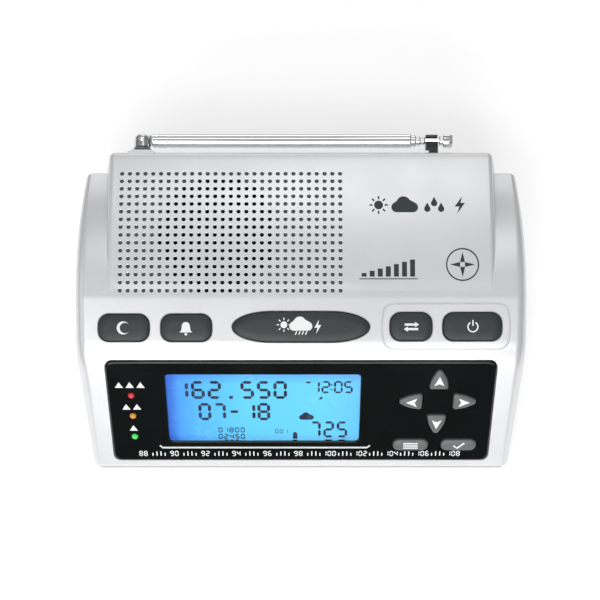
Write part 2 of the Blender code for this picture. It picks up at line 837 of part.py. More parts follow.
def make_speaker(looks):
    x, y = SPEAKER_CENTRE
    tilt = math.atan2(POD_APEX[0] - y, POD_RADIUS)
    frame = frame_at("speaker_axis", (x, y, pod_top(y)), tilt)
    top = -WALL - 2.0
    radius = SPEAKER_RADIUS
    basket = [
        (radius - 2.6, top),
        (radius - 2.6, top - 1.2),
        (11.0, top - 11.4),
        (11.0, top - 12.6),
        (12.0, top - 12.6),
        (radius - 1.6, top - 2.2),
        (radius, top - 2.2),
        (radius, top),
    ]
    solid_turned("speaker_basket", basket, looks["steel"], frame, steps=28)
    cone = [
        (0, top - 8.6),
        (8.0, top - 8.6),
        (10.4, top - 10.2),
        (radius - 3.6, top - 1.6),
        (radius - 3.2, top - 0.4),
        (radius - 4.4, top - 0.4),
        (10.0, top - 9.0),
        (7.0, top - 7.2),
        (0, top - 5.6),
    ]
    solid_turned("speaker_cone", cone, looks["cone"], frame, steps=24)
    magnet = [(0, top - 19.8), (15.6, top - 19.8), (15.6, top - 12.9), (0, top - 12.9)]
    solid_turned("speaker_magnet", magnet, looks["ferrite"], frame, steps=20)


def make_main_board(looks):
    low = (*MAIN_BOARD[0], MAIN_BOARD_Z)
    high = (*MAIN_BOARD[1], MAIN_BOARD_Z + BOARD_THICK)
    solid_box("main_board", low, high, looks["board"])
    top = MAIN_BOARD_Z + BOARD_THICK + GAP
    solid_box("tuner_can", (20.0, -22.0, top), (48.0, 0.0, top + 7.0), looks["tin"])
    rod = [(0, -35.0), (4.0, -35.0), (4.0, 35.0), (0, 35.0)]
    place = (-40.0, 33.0, top + 6.2)
    solid_turned("ferrite_rod", rod, looks["ferrite"], None, along_x(), 12, place)
    coil = [(4.3, -9.0), (5.6, -9.0), (5.6, 9.0), (4.3, 9.0)]
    solid_turned("ferrite_coil", coil, looks["copper"], None, along_x(), 16, place)


def cell_x(n):
    middle = (BAY[0][0] + BAY[1][0]) / 2
    return middle + (n - (CELL_COUNT - 1) / 2) * CELL_PITCH


def make_cells(looks):
    """Cells lie along Y, side by side and head to tail, with a contact plate at each end."""
    middle_y = (BAY[0][1] + BAY[1][1]) / 2
    axis_z = BAY_ROOF_Z - 0.7 - CELL_RADIUS
    half = CELL_LENGTH / 2
    profile = [
        (0, -half),
        (CELL_RADIUS, -half),
        (CELL_RADIUS, half - 1.2),
        (2.7, half - 1.2),
        (2.7, half),
        (0, half),
    ]
    for n in range(CELL_COUNT):
        turn = along_y() if n % 2 else along_y() @ Matrix.Rotation(math.pi, 4, "X")
        place = (cell_x(n), middle_y, axis_z)
        solid_turned(f"cell_{n + 1}", profile, looks["cell"], None, turn, 16, place)
    wall_front = BAY[0][1] + GAP
    wall_rear = BAY[1][1] - GAP
    low_z = axis_z - 5.0
    high_z = axis_z + 5.0
    thick = 0.5
    plates = {"contacts_front": (wall_front, 1), "contacts_rear": (wall_rear, -1)}
    for name, (wall, side) in plates.items():
        near = wall
        far = wall + side * thick
        low = (BAY[0][0] + 1.5, min(near, far), low_z)
        high = (BAY[1][0] - 1.5, max(near, far), high_z)
        plate = solid_box(name, low, high, looks["nickel"])
        springs = bmesh.new()
        reach = (BAY[1][1] - BAY[0][1] - CELL_LENGTH) / 2 - 2 * GAP
        for n in range(CELL_COUNT):
            if (n % 2 == 0) == (side > 0):
                continue
            profile = [(0, 0.0), (4.2, 0.0), (1.9, reach), (0, reach)]
            facing = 0.0 if side > 0 else math.pi
            turn = along_y((cell_x(n), wall + side * 0.1, axis_z))
            add_turned(springs, profile, 10, turn @ Matrix.Rotation(facing, 4, "X"))
        weld(plate, helper(f"{name}_springs", springs))


# Fixings, feet and rear sockets.


def make_fixings(looks):
    profile = [(0, 1.9), (2.8, 1.9), (2.8, 2.9), (1.3, 2.9), (1.3, 14.5), (0, 15.4)]
    for n, (x, y) in enumerate(SCREW_PLACES):
        place = (x, y, 0.0)
        solid_turned(f"case_screw_{n + 1}", profile, looks["steel"], None, None, 12, place)
    foot = [(0, 0.0), (5.4, 0.0), (6.0, 0.5), (6.0, 2.2), (0, 2.2)]
    for name, (x, y) in FOOT_PLACES.items():
        solid_turned(name, foot, looks["rubber"], None, None, 20, (x, y, 0.0))


def socket(name, outer, bore, pin, x, look, flange=0.0):
    """A round socket in the rear wall: a sleeve with a blind bore, and a pin in the power inlet."""
    front = POD_REAR_Y - SOCKET_DEPTH
    mouth = POD_REAR_Y + 0.2
    profile = [(0, front), (outer, front), (outer, mouth)]
    if flange:
        profile[-1:] = [(outer, POD_REAR_Y + GAP), (flange, POD_REAR_Y + GAP)]
        mouth = POD_REAR_Y + 1.2
        profile += [(flange, mouth)]
    profile += [(bore, mouth), (bore, front + 3.0)]
    if pin:
        profile += [(pin, front + 3.0), (pin, mouth - 2.0), (0, mouth - 1.4)]
    else:
        profile += [(0, front + 3.0)]
    solid_turned(name, profile, look, None, along_y((x, 0, SOCKET_Z)), 16)


def make_rear(looks):
    socket("dc_jack", 4.3, 2.9, 0.8, DC_JACK_X, looks["black"])
    socket("antenna_jack", 3.2, 1.75, 0, ANTENNA_JACK_X, looks["nickel"], flange=4.4)
    socket("alert_jack", 2.8, 1.75, 0, ALERT_JACK_X, looks["black"])
    x = SWITCH_X - SWITCH_TRAVEL / 2
    rear = POD_REAR_Y
    knob = boxes(((x - 2.0, rear - WALL, SOCKET_Z - 1.5), (x + 2.0, rear + 1.2, SOCKET_Z + 1.5)))
    slider = make("antenna_switch", knob, looks["black"])
    low = (x - 5.0, rear - WALL - GAP - 1.4, SOCKET_Z - 3.0)
    high = (x + 5.0, rear - WALL - GAP, SOCKET_Z + 3.0)
    plate = boxes((low, high))
    neck = (x - 1.6, rear - WALL - 1.0, SOCKET_Z - 1.2), (x + 1.6, rear - WALL + 0.4, SOCKET_Z + 1.2)
    weld(slider, helper("switch_plate", plate), helper("switch_neck", boxes(neck)))


# The antenna, drawn in the frame of its pin: x along the stowed rod.


def make_antenna_mount(looks, pivot):
    wall_y = POD_REAR_Y + BOSS_RISE - ANTENNA_Y
    bush = [
        (BUSH_BORE, wall_y - 4.6),
        (BUSH_RADIUS, wall_y - 4.6),
        (BUSH_RADIUS, wall_y + GAP),
        (BUSH_FLANGE, wall_y + GAP),
        (BUSH_FLANGE, wall_y + 1.3),
        (BUSH_BORE, wall_y + 1.3),
    ]
    solid_turned("antenna_base", bush, looks["grey"], pivot, along_y(), 20)

    head_start = wall_y + 1.7
    fork_end = FORK_END_Y - ANTENNA_Y
    profile = [
        (0, wall_y - 6.4),
        (2.3, wall_y - 6.4),
        (2.3, wall_y - 5.0),
        (SHAFT_RADIUS, wall_y - 5.0),
        (SHAFT_RADIUS, head_start),
        (FORK_RADIUS, head_start),
        (FORK_RADIUS, fork_end),
        (0, fork_end),
    ]
    swivel = solid_turned("antenna_swivel", profile, looks["chrome"], pivot, along_y(), 24)
    half_slot = FORK_SLOT / 2
    flats = boxes(
        ((-5.0, -3.2, -half_slot), (8.0, 6.0, half_slot)),
        ((-5.0, -3.9, 3.1), (8.0, 6.0, 6.0)),
        ((-5.0, -3.9, -6.0), (8.0, 6.0, -3.1)),
    )
    ears = arc(EAR_RADIUS, 0, 180, 16) + arc(2 * EAR_RADIUS, 180, 0, 16)
    ear_trim = towers([(list(reversed(ears)), -8.0), (list(reversed(ears)), 8.0)])
    cut(swivel, helper("fork_slot", flats, pivot), helper("ear_trim", ear_trim, pivot))
    pin_bore = circle(PIN_RADIUS + 0.1, 16)
    bore = towers([(pin_bore, -8.0), (pin_bore, 8.0)])
    cut(swivel, helper("fork_pin_bore", bore, pivot))

    pin = [
        (0, -3.8),
        (1.5, -3.8),
        (1.5, -3.3),
        (PIN_RADIUS, -3.3),
        (PIN_RADIUS, 3.3),
        (1.5, 3.3),
        (1.5, 3.7),
        (0.9, 4.0),
        (0, 4.0),
    ]
    solid_turned("antenna_pin", pin, looks["steel"], pivot, None, 16)


def make_antenna_sections(looks, pivot):
    start = SECTION_START_X[0] - PIN_X
    outer, inner = SECTIONS[0]
    end = SECTION_END_X[0] - PIN_X
    profile = [
        (0, start),
        (outer, start),
        (outer, end - 0.6),
        (outer - 0.15, end),
        (inner, end),
        (inner, start + 4.6),
        (0, start + 4.6),
    ]
    tube = solid_turned("antenna_tube_1", profile, looks["chrome"], pivot, along_x(), 20)
    eye = circle(2.75, 20)
    half = BLADE_THICK / 2
    blade = boxes(((0.6, -2.2, -half), (start + 2.0, 2.2, half)))
    disc = towers([(eye, -half), (eye, half)])
    weld(tube, helper("antenna_blade", blade, pivot), helper("antenna_eye", disc, pivot))
    eye_bore = circle(PIN_RADIUS + 0.1, 16)
    cut(tube, helper("antenna_eye_bore", towers([(eye_bore, -3.0), (eye_bore, 3.0)]), pivot))

    for n in (1, 2, 3):
        outer, inner = SECTIONS[n]
        start = SECTION_START_X[n] - PIN_X
        end = SECTION_END_X[n] - PIN_X
        profile = [(inner, start), (outer, start), (outer, end), (inner, end)]
        solid_turned(f"antenna_tube_{n + 1}", profile, looks["chrome"], pivot, along_x(), 16)

    start, end = (x - PIN_X for x in ROD_X)
    rod = [(0, start), (ROD_RADIUS, start), (ROD_RADIUS, end), (0, end)]
    solid_turned("antenna_rod", rod, looks["chrome"], pivot, along_x(), 12)
    start, end = (x - PIN_X for x in TIP_X)
    rod_end = ROD_X[1] - PIN_X
    tip = [
        (ROD_RADIUS + GAP, start),
        (2.3, start),
        (2.3, start + 1.0),
        (3.35, start + 1.6),
        (3.35, end - 0.5),
        (2.9, end),
        (0, end),
        (0, rod_end + GAP),
        (ROD_RADIUS + GAP, rod_end + GAP),
    ]
    shape = bmesh.new()
    add_turned(shape, tip, 20, along_x())
    make("antenna_tip", shape, looks["chrome"], pivot, smooth=35)


def make_antenna_clip(look, pivot):
    """A springy U, open at the top, that holds the thin rod beside the tip."""
    slot = ROD_RADIUS + 0.2
    arm = CLIP_ARM
    wall_y = POD_REAR_Y - ANTENNA_Y
    left, right = (x - PIN_X for x in CLIP_X)
    outline = [
        (-slot - arm, -3.6),
        (slot + arm, -3.6),
        (slot + arm, 1.8),
        (slot, 2.2),
        (slot, -slot),
        (-slot, -slot),
        (-slot, 2.2),
        (-slot - arm, 1.8),
    ]
    shape = bmesh.new()
    to_side = Matrix.Rotation(math.radians(90), 4, "Z") @ Matrix.Rotation(math.radians(90), 4, "X")
    add_tower(shape, [(outline, left), (outline, right)], to_side)
    clip = make("antenna_clip", shape, look, pivot)
    stem = boxes(((left + 1.4, wall_y + GAP, -3.2), (right - 0.1, -slot - arm + 0.6, 1.4)))
    weld(clip, helper("clip_stem", stem, pivot))


def main():
    clear_scene()
    looks = {
        "silver": material("silver_paint", (0.62, 0.63, 0.65), 0.35, 0.4),
        "grey": material("grey_plastic", (0.28, 0.29, 0.3), 0.5),
        "gloss": material("gloss_black", (0.01, 0.013, 0.013), 0.12),
        "black": material("black_plastic", (0.02, 0.02, 0.022), 0.45),
        "charcoal": material("charcoal_rubber", (0.06, 0.065, 0.07), 0.55),
        "key": material("key_grey", (0.25, 0.26, 0.26), 0.5),
        "clear": material("clear_window", (0.8, 0.9, 1.0), 0.05, 0.0, 0.35),
        "lcd": material("lcd_blue", (0.05, 0.45, 0.85), 0.2),
        "light": material("backlight", (0.6, 0.8, 1.0), 0.4),
        "white": material("white_plastic", (0.75, 0.75, 0.73), 0.5),
        "warning_led": material("red_led", (0.8, 0.03, 0.02), 0.2),
        "watch_led": material("amber_led", (0.9, 0.35, 0.02), 0.2),
        "advisory_led": material("green_led", (0.05, 0.7, 0.1), 0.2),
        "chrome": material("chrome", (0.8, 0.8, 0.82), 0.08, 1.0),
        "steel": material("steel", (0.55, 0.55, 0.56), 0.3, 1.0),
        "tin": material("tinplate", (0.65, 0.65, 0.62), 0.35, 1.0),
        "nickel": material("nickel", (0.68, 0.66, 0.6), 0.25, 1.0),
        "copper": material("copper_wire", (0.72, 0.35, 0.2), 0.35, 1.0),
        "ferrite": material("ferrite", (0.05, 0.05, 0.055), 0.6),
        "cone": material("paper_cone", (0.03, 0.03, 0.03), 0.9),
        "board": material("circuit_board", (0.03, 0.2, 0.08), 0.45),
        "cell": material("cell_jacket", (0.12, 0.12, 0.14), 0.3),
        "rubber": material("foot_rubber", (0.03, 0.03, 0.03), 0.85),
    }
    panel_frame = frame_at("panel_frame", (0.0, *PANEL_FOOT), PANEL_ANGLE)
    shelf_frame = frame_at("shelf_frame", (0.0, *SHELF_START), SHELF_ANGLE)
    pivot = frame_at("antenna_pivot", (PIN_X, ANTENNA_Y, ANTENNA_Z))
    bpy.context.view_layer.update()

    make_top_case(looks["silver"], panel_frame, shelf_frame)
    make_bottom_case(looks["grey"])
    make_battery_door(looks["grey"])
    make_front_panel(looks["gloss"], panel_frame)
    make_display(looks, panel_frame)
    make_panel_keys(looks["key"], panel_frame)
    make_shelf_keys(looks["charcoal"], shelf_frame)
    make_boards(looks["board"], panel_frame, shelf_frame)
    make_speaker(looks)
    make_main_board(looks)
    make_cells(looks)
    make_fixings(looks)
    make_rear(looks)
    make_antenna_mount(looks, pivot)
    make_antenna_sections(looks, pivot)
    make_antenna_clip(looks["black"], pivot)


main()
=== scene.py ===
"""Looks of the desk weather radio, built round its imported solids.

Lengths are in millimetres and become metres where a mesh is made. +X is the user's right, +Y the
rear and +Z up.
"""

import json
import math

import bmesh
import bpy
from mathutils import Matrix, Vector


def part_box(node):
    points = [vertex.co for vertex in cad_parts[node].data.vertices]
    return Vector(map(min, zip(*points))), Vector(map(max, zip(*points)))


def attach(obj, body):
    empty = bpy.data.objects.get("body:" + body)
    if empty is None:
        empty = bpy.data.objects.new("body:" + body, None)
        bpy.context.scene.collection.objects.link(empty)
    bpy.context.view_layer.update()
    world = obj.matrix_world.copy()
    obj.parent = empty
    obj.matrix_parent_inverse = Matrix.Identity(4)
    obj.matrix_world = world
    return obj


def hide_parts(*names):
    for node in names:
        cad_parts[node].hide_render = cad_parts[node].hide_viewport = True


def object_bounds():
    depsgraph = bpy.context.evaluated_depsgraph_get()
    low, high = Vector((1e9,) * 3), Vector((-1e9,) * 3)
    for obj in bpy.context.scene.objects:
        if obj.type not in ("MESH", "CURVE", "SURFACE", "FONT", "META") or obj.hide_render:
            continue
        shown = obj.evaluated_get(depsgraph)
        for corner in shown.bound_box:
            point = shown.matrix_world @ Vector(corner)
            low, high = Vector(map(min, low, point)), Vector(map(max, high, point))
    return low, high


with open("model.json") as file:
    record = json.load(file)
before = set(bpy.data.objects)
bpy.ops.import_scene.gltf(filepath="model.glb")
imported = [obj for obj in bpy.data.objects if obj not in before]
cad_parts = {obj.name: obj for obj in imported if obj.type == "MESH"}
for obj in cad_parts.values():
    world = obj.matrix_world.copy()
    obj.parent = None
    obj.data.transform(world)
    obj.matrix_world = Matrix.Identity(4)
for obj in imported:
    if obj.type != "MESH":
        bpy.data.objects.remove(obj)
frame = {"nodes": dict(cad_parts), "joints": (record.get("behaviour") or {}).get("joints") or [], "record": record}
cad_low, cad_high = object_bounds()

MM = 0.001
WALL = 2.2
PARTING = 0.3
JOINTS = {joint["name"]: joint for joint in frame["joints"]}


def box_mm(node):
    low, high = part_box(node)
    return low / MM, high / MM


def middle_of(node):
    low, high = box_mm(node)
    return (low + high) / 2


def slope_frame(press_joint, slab, slab_middle):
    """The frame of a sloping surface: x across, y up the slope, z outwards. slab_middle is the
    middle of a flat piece in that frame, and the piece's box says where it really is."""
    outwards = -Vector(JOINTS[press_joint]["axis"])
    across = Vector((1, 0, 0))
    upwards = outwards.cross(across)
    turn = Matrix((across, upwards, outwards)).transposed()
    origin = middle_of(slab) - turn @ Vector(slab_middle)
    return Matrix.Translation(origin) @ turn.to_4x4()


PANEL = slope_frame("up_press", "lcd_glass", (-17.2, 30.5, -3.4))
SHELF = slope_frame("snooze_press", "key_board", (0.0, 14.5, -11.8))
PIVOT = Matrix.Translation(Vector(JOINTS["antenna_turn"]["pos_m"]) / MM)
WORLD = Matrix.Identity(4)


def rotation(degrees, axis):
    return Matrix.Rotation(math.radians(degrees), 4, axis)


ALONG_X = rotation(90, "Y")
ALONG_Y = rotation(-90, "X")
ACROSS = rotation(90, "Z") @ rotation(90, "X")

CASE_LOW, CASE_HIGH = box_mm("top_case")
HALF_WIDTH = CASE_HIGH.x
FRONT_Y = CASE_LOW.y
SEAM_Z = CASE_LOW.z
POD_REAR_Y = box_mm("bottom_case")[1].y
SPEAKER = middle_of("speaker_magnet")


# Materials.


def feed(tree, socket, value):
    """Links an output to the socket, or gives it a value. A colour gets its alpha here."""
    if isinstance(value, bpy.types.NodeSocket):
        tree.links.new(value, socket)
    elif socket.type == "RGBA":
        socket.default_value = (*value, 1.0)
    else:
        socket.default_value = value


def node_of(tree, kind, inputs, **settings):
    node = tree.nodes.new("ShaderNode" + kind)
    for name, value in settings.items():
        setattr(node, name, value)
    for key, value in inputs.items():
        feed(tree, node.inputs[key], value)
    return node


def noise(tree, place, scale, detail=3.0, stretch=None):
    """A noise texture's value. stretch makes it longer along an axis, as for brushing."""
    if stretch:
        place = node_of(tree, "Mapping", {"Scale": stretch, "Vector": place}).outputs["Vector"]
    inputs = {"Vector": place, "Scale": scale, "Detail": detail, "Roughness": 0.55}
    return node_of(tree, "TexNoise", inputs).outputs["Fac"]


def spread(tree, value, low, high, start=0.3, end=0.7):
    """Maps the middle of a noise's range to low..high."""
    inputs = {"Value": value, "From Min": start, "From Max": end, "To Min": low, "To Max": high}
    return node_of(tree, "MapRange", inputs).outputs["Result"]


def blend_colors(tree, factor, first, second, **settings):
    """A mix node's colour. Its colour sockets can only be told apart by number."""
    inputs = {0: factor, 6: first, 7: second}
    return node_of(tree, "Mix", inputs, data_type="RGBA", **settings).outputs[2]


def ramp(tree, value, stops):
    """A colour ramp's output. The stops are (place, colour)."""
    node = node_of(tree, "ValToRGB", {0: value})
    elements = node.color_ramp.elements
    while len(elements) < len(stops):
        elements.new(0.5)
    for element, (place, color) in zip(elements, stops):
        element.position = place
        element.color = (*color, 1.0)
    return node.outputs[0]


def shade(color, share):
    return tuple(min(1.0, channel * share) for channel in color)


def surface(
    name,
    color,
    rough=(0.3, 0.42),
    metallic=0.0,
    tone=0.06,
    grain=0.0,
    grain_scale=2600.0,
    bump=0.02,
    bump_scale=1500.0,
    stretch=None,
    scratches=0.03,
    sockets=None,
):
    """A painted, moulded or metal finish: cloudy tone, fine grain, faint scratches and dull patches."""
    made = bpy.data.materials.new(name)
    made.use_nodes = True
    tree = made.node_tree
    place = node_of(tree, "TexCoord", {}).outputs["Object"]
    cloud = spread(tree, noise(tree, place, 30.0), 0.0, 1.0)
    base = blend_colors(tree, cloud, shade(color, 1 - tone), shade(color, 1 + tone))
    if grain:
        speck = spread(tree, noise(tree, place, grain_scale, 1.0, stretch), 0.0, 1.0, 0.35, 0.65)
        flake = blend_colors(tree, speck, shade(color, 1 - grain), shade(color, 1 + grain))
        base = blend_colors(tree, 0.5, base, flake)
    patch = spread(tree, noise(tree, place, 55.0, 4.0, stretch), *rough)
    streak = noise(tree, place, 260.0, 2.0, (1.0, 9.0, 3.0))
    scuff = spread(tree, streak, 0.0, scratches, 0.66, 0.8)
    height = noise(tree, place, bump_scale, 2.0, stretch)
    values = {
        "Base Color": base,
        "Roughness": node_of(tree, "Math", {0: patch, 1: scuff}, operation="ADD").outputs[0],
        "Normal": node_of(tree, "Bump", {"Strength": bump, "Distance": 0.0004, "Height": height}).outputs[0],
        "Metallic": metallic,
        **(sockets or {}),
    }
    for socket, value in values.items():
        feed(tree, tree.nodes["Principled BSDF"].inputs[socket], value)
    return made


def light_up(made, color, strength):
    sockets = made.node_tree.nodes["Principled BSDF"].inputs
    feed(made.node_tree, sockets["Emission Color"], color)
    sockets["Emission Strength"].default_value = strength


def lit_display():
    """The backlit glass: deep blue at the lamp's end and the upper edge, cyan over the rest."""
    made = surface("lit_display", (0.02, 0.12, 0.3), rough=(0.2, 0.3), bump=0.01, scratches=0.0)
    tree = made.node_tree
    place = node_of(tree, "TexCoord", {}).outputs["Generated"]
    parts = node_of(tree, "SeparateXYZ", {0: place})
    from_left = [
        (0.0, (0.02, 0.08, 0.45)), (0.04, (0.03, 0.12, 0.56)), (0.08, (0.06, 0.3, 0.82)),
        (0.16, (0.085, 0.43, 0.86)), (0.4, (0.13, 0.62, 0.88)), (0.8, (0.145, 0.64, 0.9)),
        (0.97, (0.14, 0.56, 0.9)), (1.0, (0.12, 0.4, 0.8)),
    ]
    from_foot = [
        (0.0, (0.8, 0.6, 0.8)), (0.05, (1.1, 0.75, 0.85)), (0.16, (1.0, 1.0, 1.0)),
        (0.8, (1.0, 1.0, 1.0)), (0.9, (0.85, 0.72, 1.0)), (0.95, (0.7, 0.48, 0.9)),
        (1.0, (0.6, 0.34, 0.75)),
    ]
    along = ramp(tree, parts.outputs[0], from_left)
    up = ramp(tree, parts.outputs[2], from_foot)
    light_up(made, blend_colors(tree, 1.0, along, up, blend_type="MULTIPLY"), 1.0)
    return made


def glowing(name, color, strength):
    made = surface(name, color, rough=(0.12, 0.2), bump=0.01, scratches=0.0)
    tree = made.node_tree
    place = node_of(tree, "TexCoord", {}).outputs["Object"]
    flicker = spread(tree, noise(tree, place, 700.0), 0.0, 1.0)
    light_up(made, blend_colors(tree, flicker, shade(color, 0.8), shade(color, 1.2)), strength)
    return made


# The finishes that share a name with a material slot of the record also dress the solids that are
# shown as they are.
FINISHES = {
    "silver_paint": dict(
        color=(0.74, 0.745, 0.755), rough=(0.3, 0.36), metallic=0.45, tone=0.012, grain=0.05,
        grain_scale=3200.0, bump=0.03, bump_scale=3000.0,
    ),
    "grey_plastic": dict(color=(0.17, 0.175, 0.18), rough=(0.45, 0.6), grain=0.1, bump=0.25),
    "gloss_black": dict(
        color=(0.0012, 0.003, 0.0027), rough=(0.07, 0.11), tone=0.2, bump=0.004, bump_scale=300.0,
        scratches=0.02,
    ),
    "black_plastic": dict(color=(0.012, 0.012, 0.013), bump=0.1),
    "charcoal_rubber": dict(
        color=(0.021, 0.028, 0.028), rough=(0.4, 0.5), tone=0.08, grain=0.12, bump=0.2,
        bump_scale=2400.0, sockets={"Sheen Weight": 0.08},
    ),
    "key_grey": dict(
        color=(0.105, 0.116, 0.114), rough=(0.32, 0.44), tone=0.05, grain=0.06, bump=0.1,
    ),
    "clear_window": dict(
        color=(0.97, 0.985, 1.0), rough=(0.0, 0.01), tone=0.01, bump=0.001, bump_scale=200.0,
        scratches=0.005, sockets={"Transmission Weight": 1.0, "IOR": 1.3},
    ),
    "lcd_segment": dict(color=(0.002, 0.012, 0.06), rough=(0.3, 0.4), tone=0.2, bump=0.01),
    "backlight": dict(color=(0.6, 0.75, 0.9), rough=(0.4, 0.5)),
    "white_plastic": dict(color=(0.7, 0.7, 0.68), rough=(0.4, 0.5)),
    "white_print": dict(color=(0.86, 0.87, 0.87), rough=(0.4, 0.55), tone=0.04, bump=0.05),
    "grey_print": dict(color=(0.02, 0.028, 0.028), rough=(0.4, 0.55), tone=0.1, bump=0.05),
    # Painted highlight: a light grey for the lip that stands in for the glint along the window's lower edge.
    "lip_painted_highlight": dict(
        color=(0.75, 0.77, 0.77), rough=(0.12, 0.2), metallic=0.2, tone=0.02, bump=0.01,
    ),
    "chrome": dict(
        color=(0.8, 0.805, 0.81), rough=(0.05, 0.1), metallic=1.0, tone=0.02, bump=0.01,
        stretch=(0.1, 6.0, 6.0), scratches=0.06,
    ),
    "cast_knuckle": dict(color=(0.62, 0.63, 0.635), rough=(0.1, 0.16), metallic=1.0, bump=0.03),
    "steel": dict(color=(0.5, 0.5, 0.51), rough=(0.25, 0.36), metallic=1.0, stretch=(1, 1, 8)),
    "tinplate": dict(color=(0.6, 0.6, 0.57), metallic=1.0),
    "nickel": dict(color=(0.66, 0.64, 0.58), rough=(0.2, 0.3), metallic=1.0),
    "copper_wire": dict(
        color=(0.6, 0.25, 0.12), rough=(0.25, 0.4), metallic=1.0, bump=0.6, stretch=(40, 1, 1),
    ),
    "ferrite": dict(color=(0.03, 0.03, 0.034), rough=(0.5, 0.7), bump=0.2),
    "paper_cone": dict(color=(0.015,) * 3, rough=(0.85, 0.95), bump=0.4),
    "speaker_cloth": dict(color=(0.006,) * 3, rough=(0.9, 1.0), bump=0.5),
    "circuit_board": dict(color=(0.02, 0.14, 0.05), rough=(0.35, 0.5), tone=0.15),
    "cell_jacket": dict(color=(0.03, 0.035, 0.05), rough=(0.2, 0.3), metallic=0.3, tone=0.1),
    # Painted shade: dark grey for the blind grille holes, near black for the through holes and the key wells.
    "painted_shade_grey": dict(color=(0.15, 0.155, 0.16), rough=(0.6, 0.75), tone=0.1, bump=0.1),
    "painted_shade_black": dict(color=(0.006,) * 3, rough=(0.6, 0.75), tone=0.1, bump=0.1),
    "foot_rubber": dict(color=(0.02,) * 3, rough=(0.75, 0.9), grain=0.2, bump=0.4),
}
LOOKS = {name: surface(name, **finish) for name, finish in FINISHES.items()}
LOOKS["lcd_blue"] = lit_display()
LOOKS["red_led"] = glowing("red_led", (0.5, 0.02, 0.03), 0.35)
LOOKS["amber_led"] = glowing("amber_led", (0.55, 0.25, 0.03), 0.35)
LOOKS["green_led"] = glowing("green_led", (0.05, 0.5, 0.1), 0.6)


# Outlines, as lists of (x, y) running anticlockwise.


def arc(radius, start, end, steps, centre=(0.0, 0.0)):
    angles = [math.radians(start + (end - start) * n / steps) for n in range(steps + 1)]
    return [(centre[0] + radius * math.cos(a), centre[1] + radius * math.sin(a)) for a in angles]


def quarter(steps):
    """(cosine, sine) at the ends of equal steps of a quarter turn. The last pair is (0, 1)."""
    angles = [math.radians(90 * n / steps) for n in range(1, steps)]
    return [(math.cos(a), math.sin(a)) for a in angles] + [(0, 1)]


def circle(radius, steps=32, centre=(0.0, 0.0)):
    return arc(radius, 0, 360, steps, centre)[:-1]


def rectangle(low, high):
    return [(low[0], low[1]), (high[0], low[1]), (high[0], high[1]), (low[0], high[1])]


def rounded_rectangle(width, height, radius, steps=7):
    points = []
    for quarter, (right, up) in enumerate(((1, 1), (-1, 1), (-1, -1), (1, -1))):
        corner = (right * (width / 2 - radius), up * (height / 2 - radius))
        points += arc(radius, 90 * quarter, 90 * quarter + 90, steps, corner)
    return points


def bowed_rectangle(width, height, radius, bow=1.2, steps=7, rows=6):
    """A rounded rectangle whose two short ends swell outwards in the middle."""
    points = []
    corners = rounded_rectangle(width - 2 * bow, height, radius, steps)
    for index, point in enumerate(corners):
        points.append(point)
        after = corners[(index + 1) % len(corners)]
        if point[0] * after[0] > 0 and point[1] * after[1] < 0:
            for row in range(1, rows):
                points.append((point[0], point[1] + (after[1] - point[1]) * row / rows))
    swollen = []
    for x, y in points:
        swollen.append((x + math.copysign(bow * (1 - (2 * y / height) ** 2), x), y))
    return swollen


def long_oval(width, height, flat_share=0.42, steps=28):
    """Straight along the middle, with a half ellipse at each end."""
    flat = width / 2 * flat_share
    reach = width / 2 - flat
    points = []
    for side in (1, -1):
        for step in range(steps + 1):
            angle = math.radians(-90 + 180 * step / steps)
            x = side * (flat + reach * math.cos(angle))
            points.append((x, side * height / 2 * math.sin(angle)))
    return points


def pointed_key(width, height, steps=10, base_round=1.2, tip_round=1.6):
    """A flat base and two curved sides that meet in a round tip at +y."""
    left = arc(tip_round, 90, 150, steps, (0.0, height / 2 - tip_round))
    shoulder = left[-1]
    foot = (-width / 2, -height / 2 + base_round)
    for step in range(1, steps):
        share = step / steps
        swell = 0.5 * math.sin(math.pi * share)
        x = shoulder[0] + (foot[0] - shoulder[0]) * share - swell
        left.append((x, shoulder[1] + (foot[1] - shoulder[1]) * share + swell * 0.5))
    corner = (-width / 2 + base_round, -height / 2 + base_round)
    left += arc(base_round, 180, 270, 5, corner)
    return left + [(-x, y) for x, y in reversed(left[1:])]


def sun_outlines(radius, steps, ray, centre):
    """A disc and eight rays, each from ray[0] to ray[1] and ray[2] to either side."""
    outlines = [circle(radius, steps, centre)]
    for n in range(8):
        flat = rectangle((ray[0], -ray[2]), (ray[1], ray[2]))
        outlines.append(moved(turned(flat, 45 * n), centre))
    return outlines


def ring_outlines(outer, inner, start, sweep, parts):
    """A ring, or part of one, as a row of short plates."""
    outlines = []
    for n in range(parts):
        first = start + sweep * n / parts
        last = first + sweep / parts
        outlines.append(arc(outer, first, last, 2) + arc(inner, last, first, 2))
    return outlines


def moved(outline, centre):
    return [(x + centre[0], y + centre[1]) for x, y in outline]


def turned(outline, degrees):
    c = math.cos(math.radians(degrees))
    s = math.sin(math.radians(degrees))
    return [(x * c - y * s, x * s + y * c) for x, y in outline]


def inset(outline, distance):
    """The outline squeezed towards its middle until each side has moved in by the distance."""
    lows = [min(point[k] for point in outline) for k in (0, 1)]
    highs = [max(point[k] for point in outline) for k in (0, 1)]
    middle = [(low + high) / 2 for low, high in zip(lows, highs)]
    share = [1 - 2 * distance / (high - low) for low, high in zip(lows, highs)]
    return [tuple(middle[k] + (point[k] - middle[k]) * share[k] for k in (0, 1)) for point in outline]


def stroke(points, width):
    """The outline of a line of that width through the points."""
    left = []
    right = []
    for n, point in enumerate(points):
        before = Vector(points[max(n - 1, 0)])
        after = Vector(points[min(n + 1, len(points) - 1)])
        along = (after - before).normalized()
        side = Vector((-along.y, along.x)) * width / 2
        left.append(tuple(Vector(point) + side))
        right.append(tuple(Vector(point) - side))
    return right + left[::-1]


# Solids in millimetres.


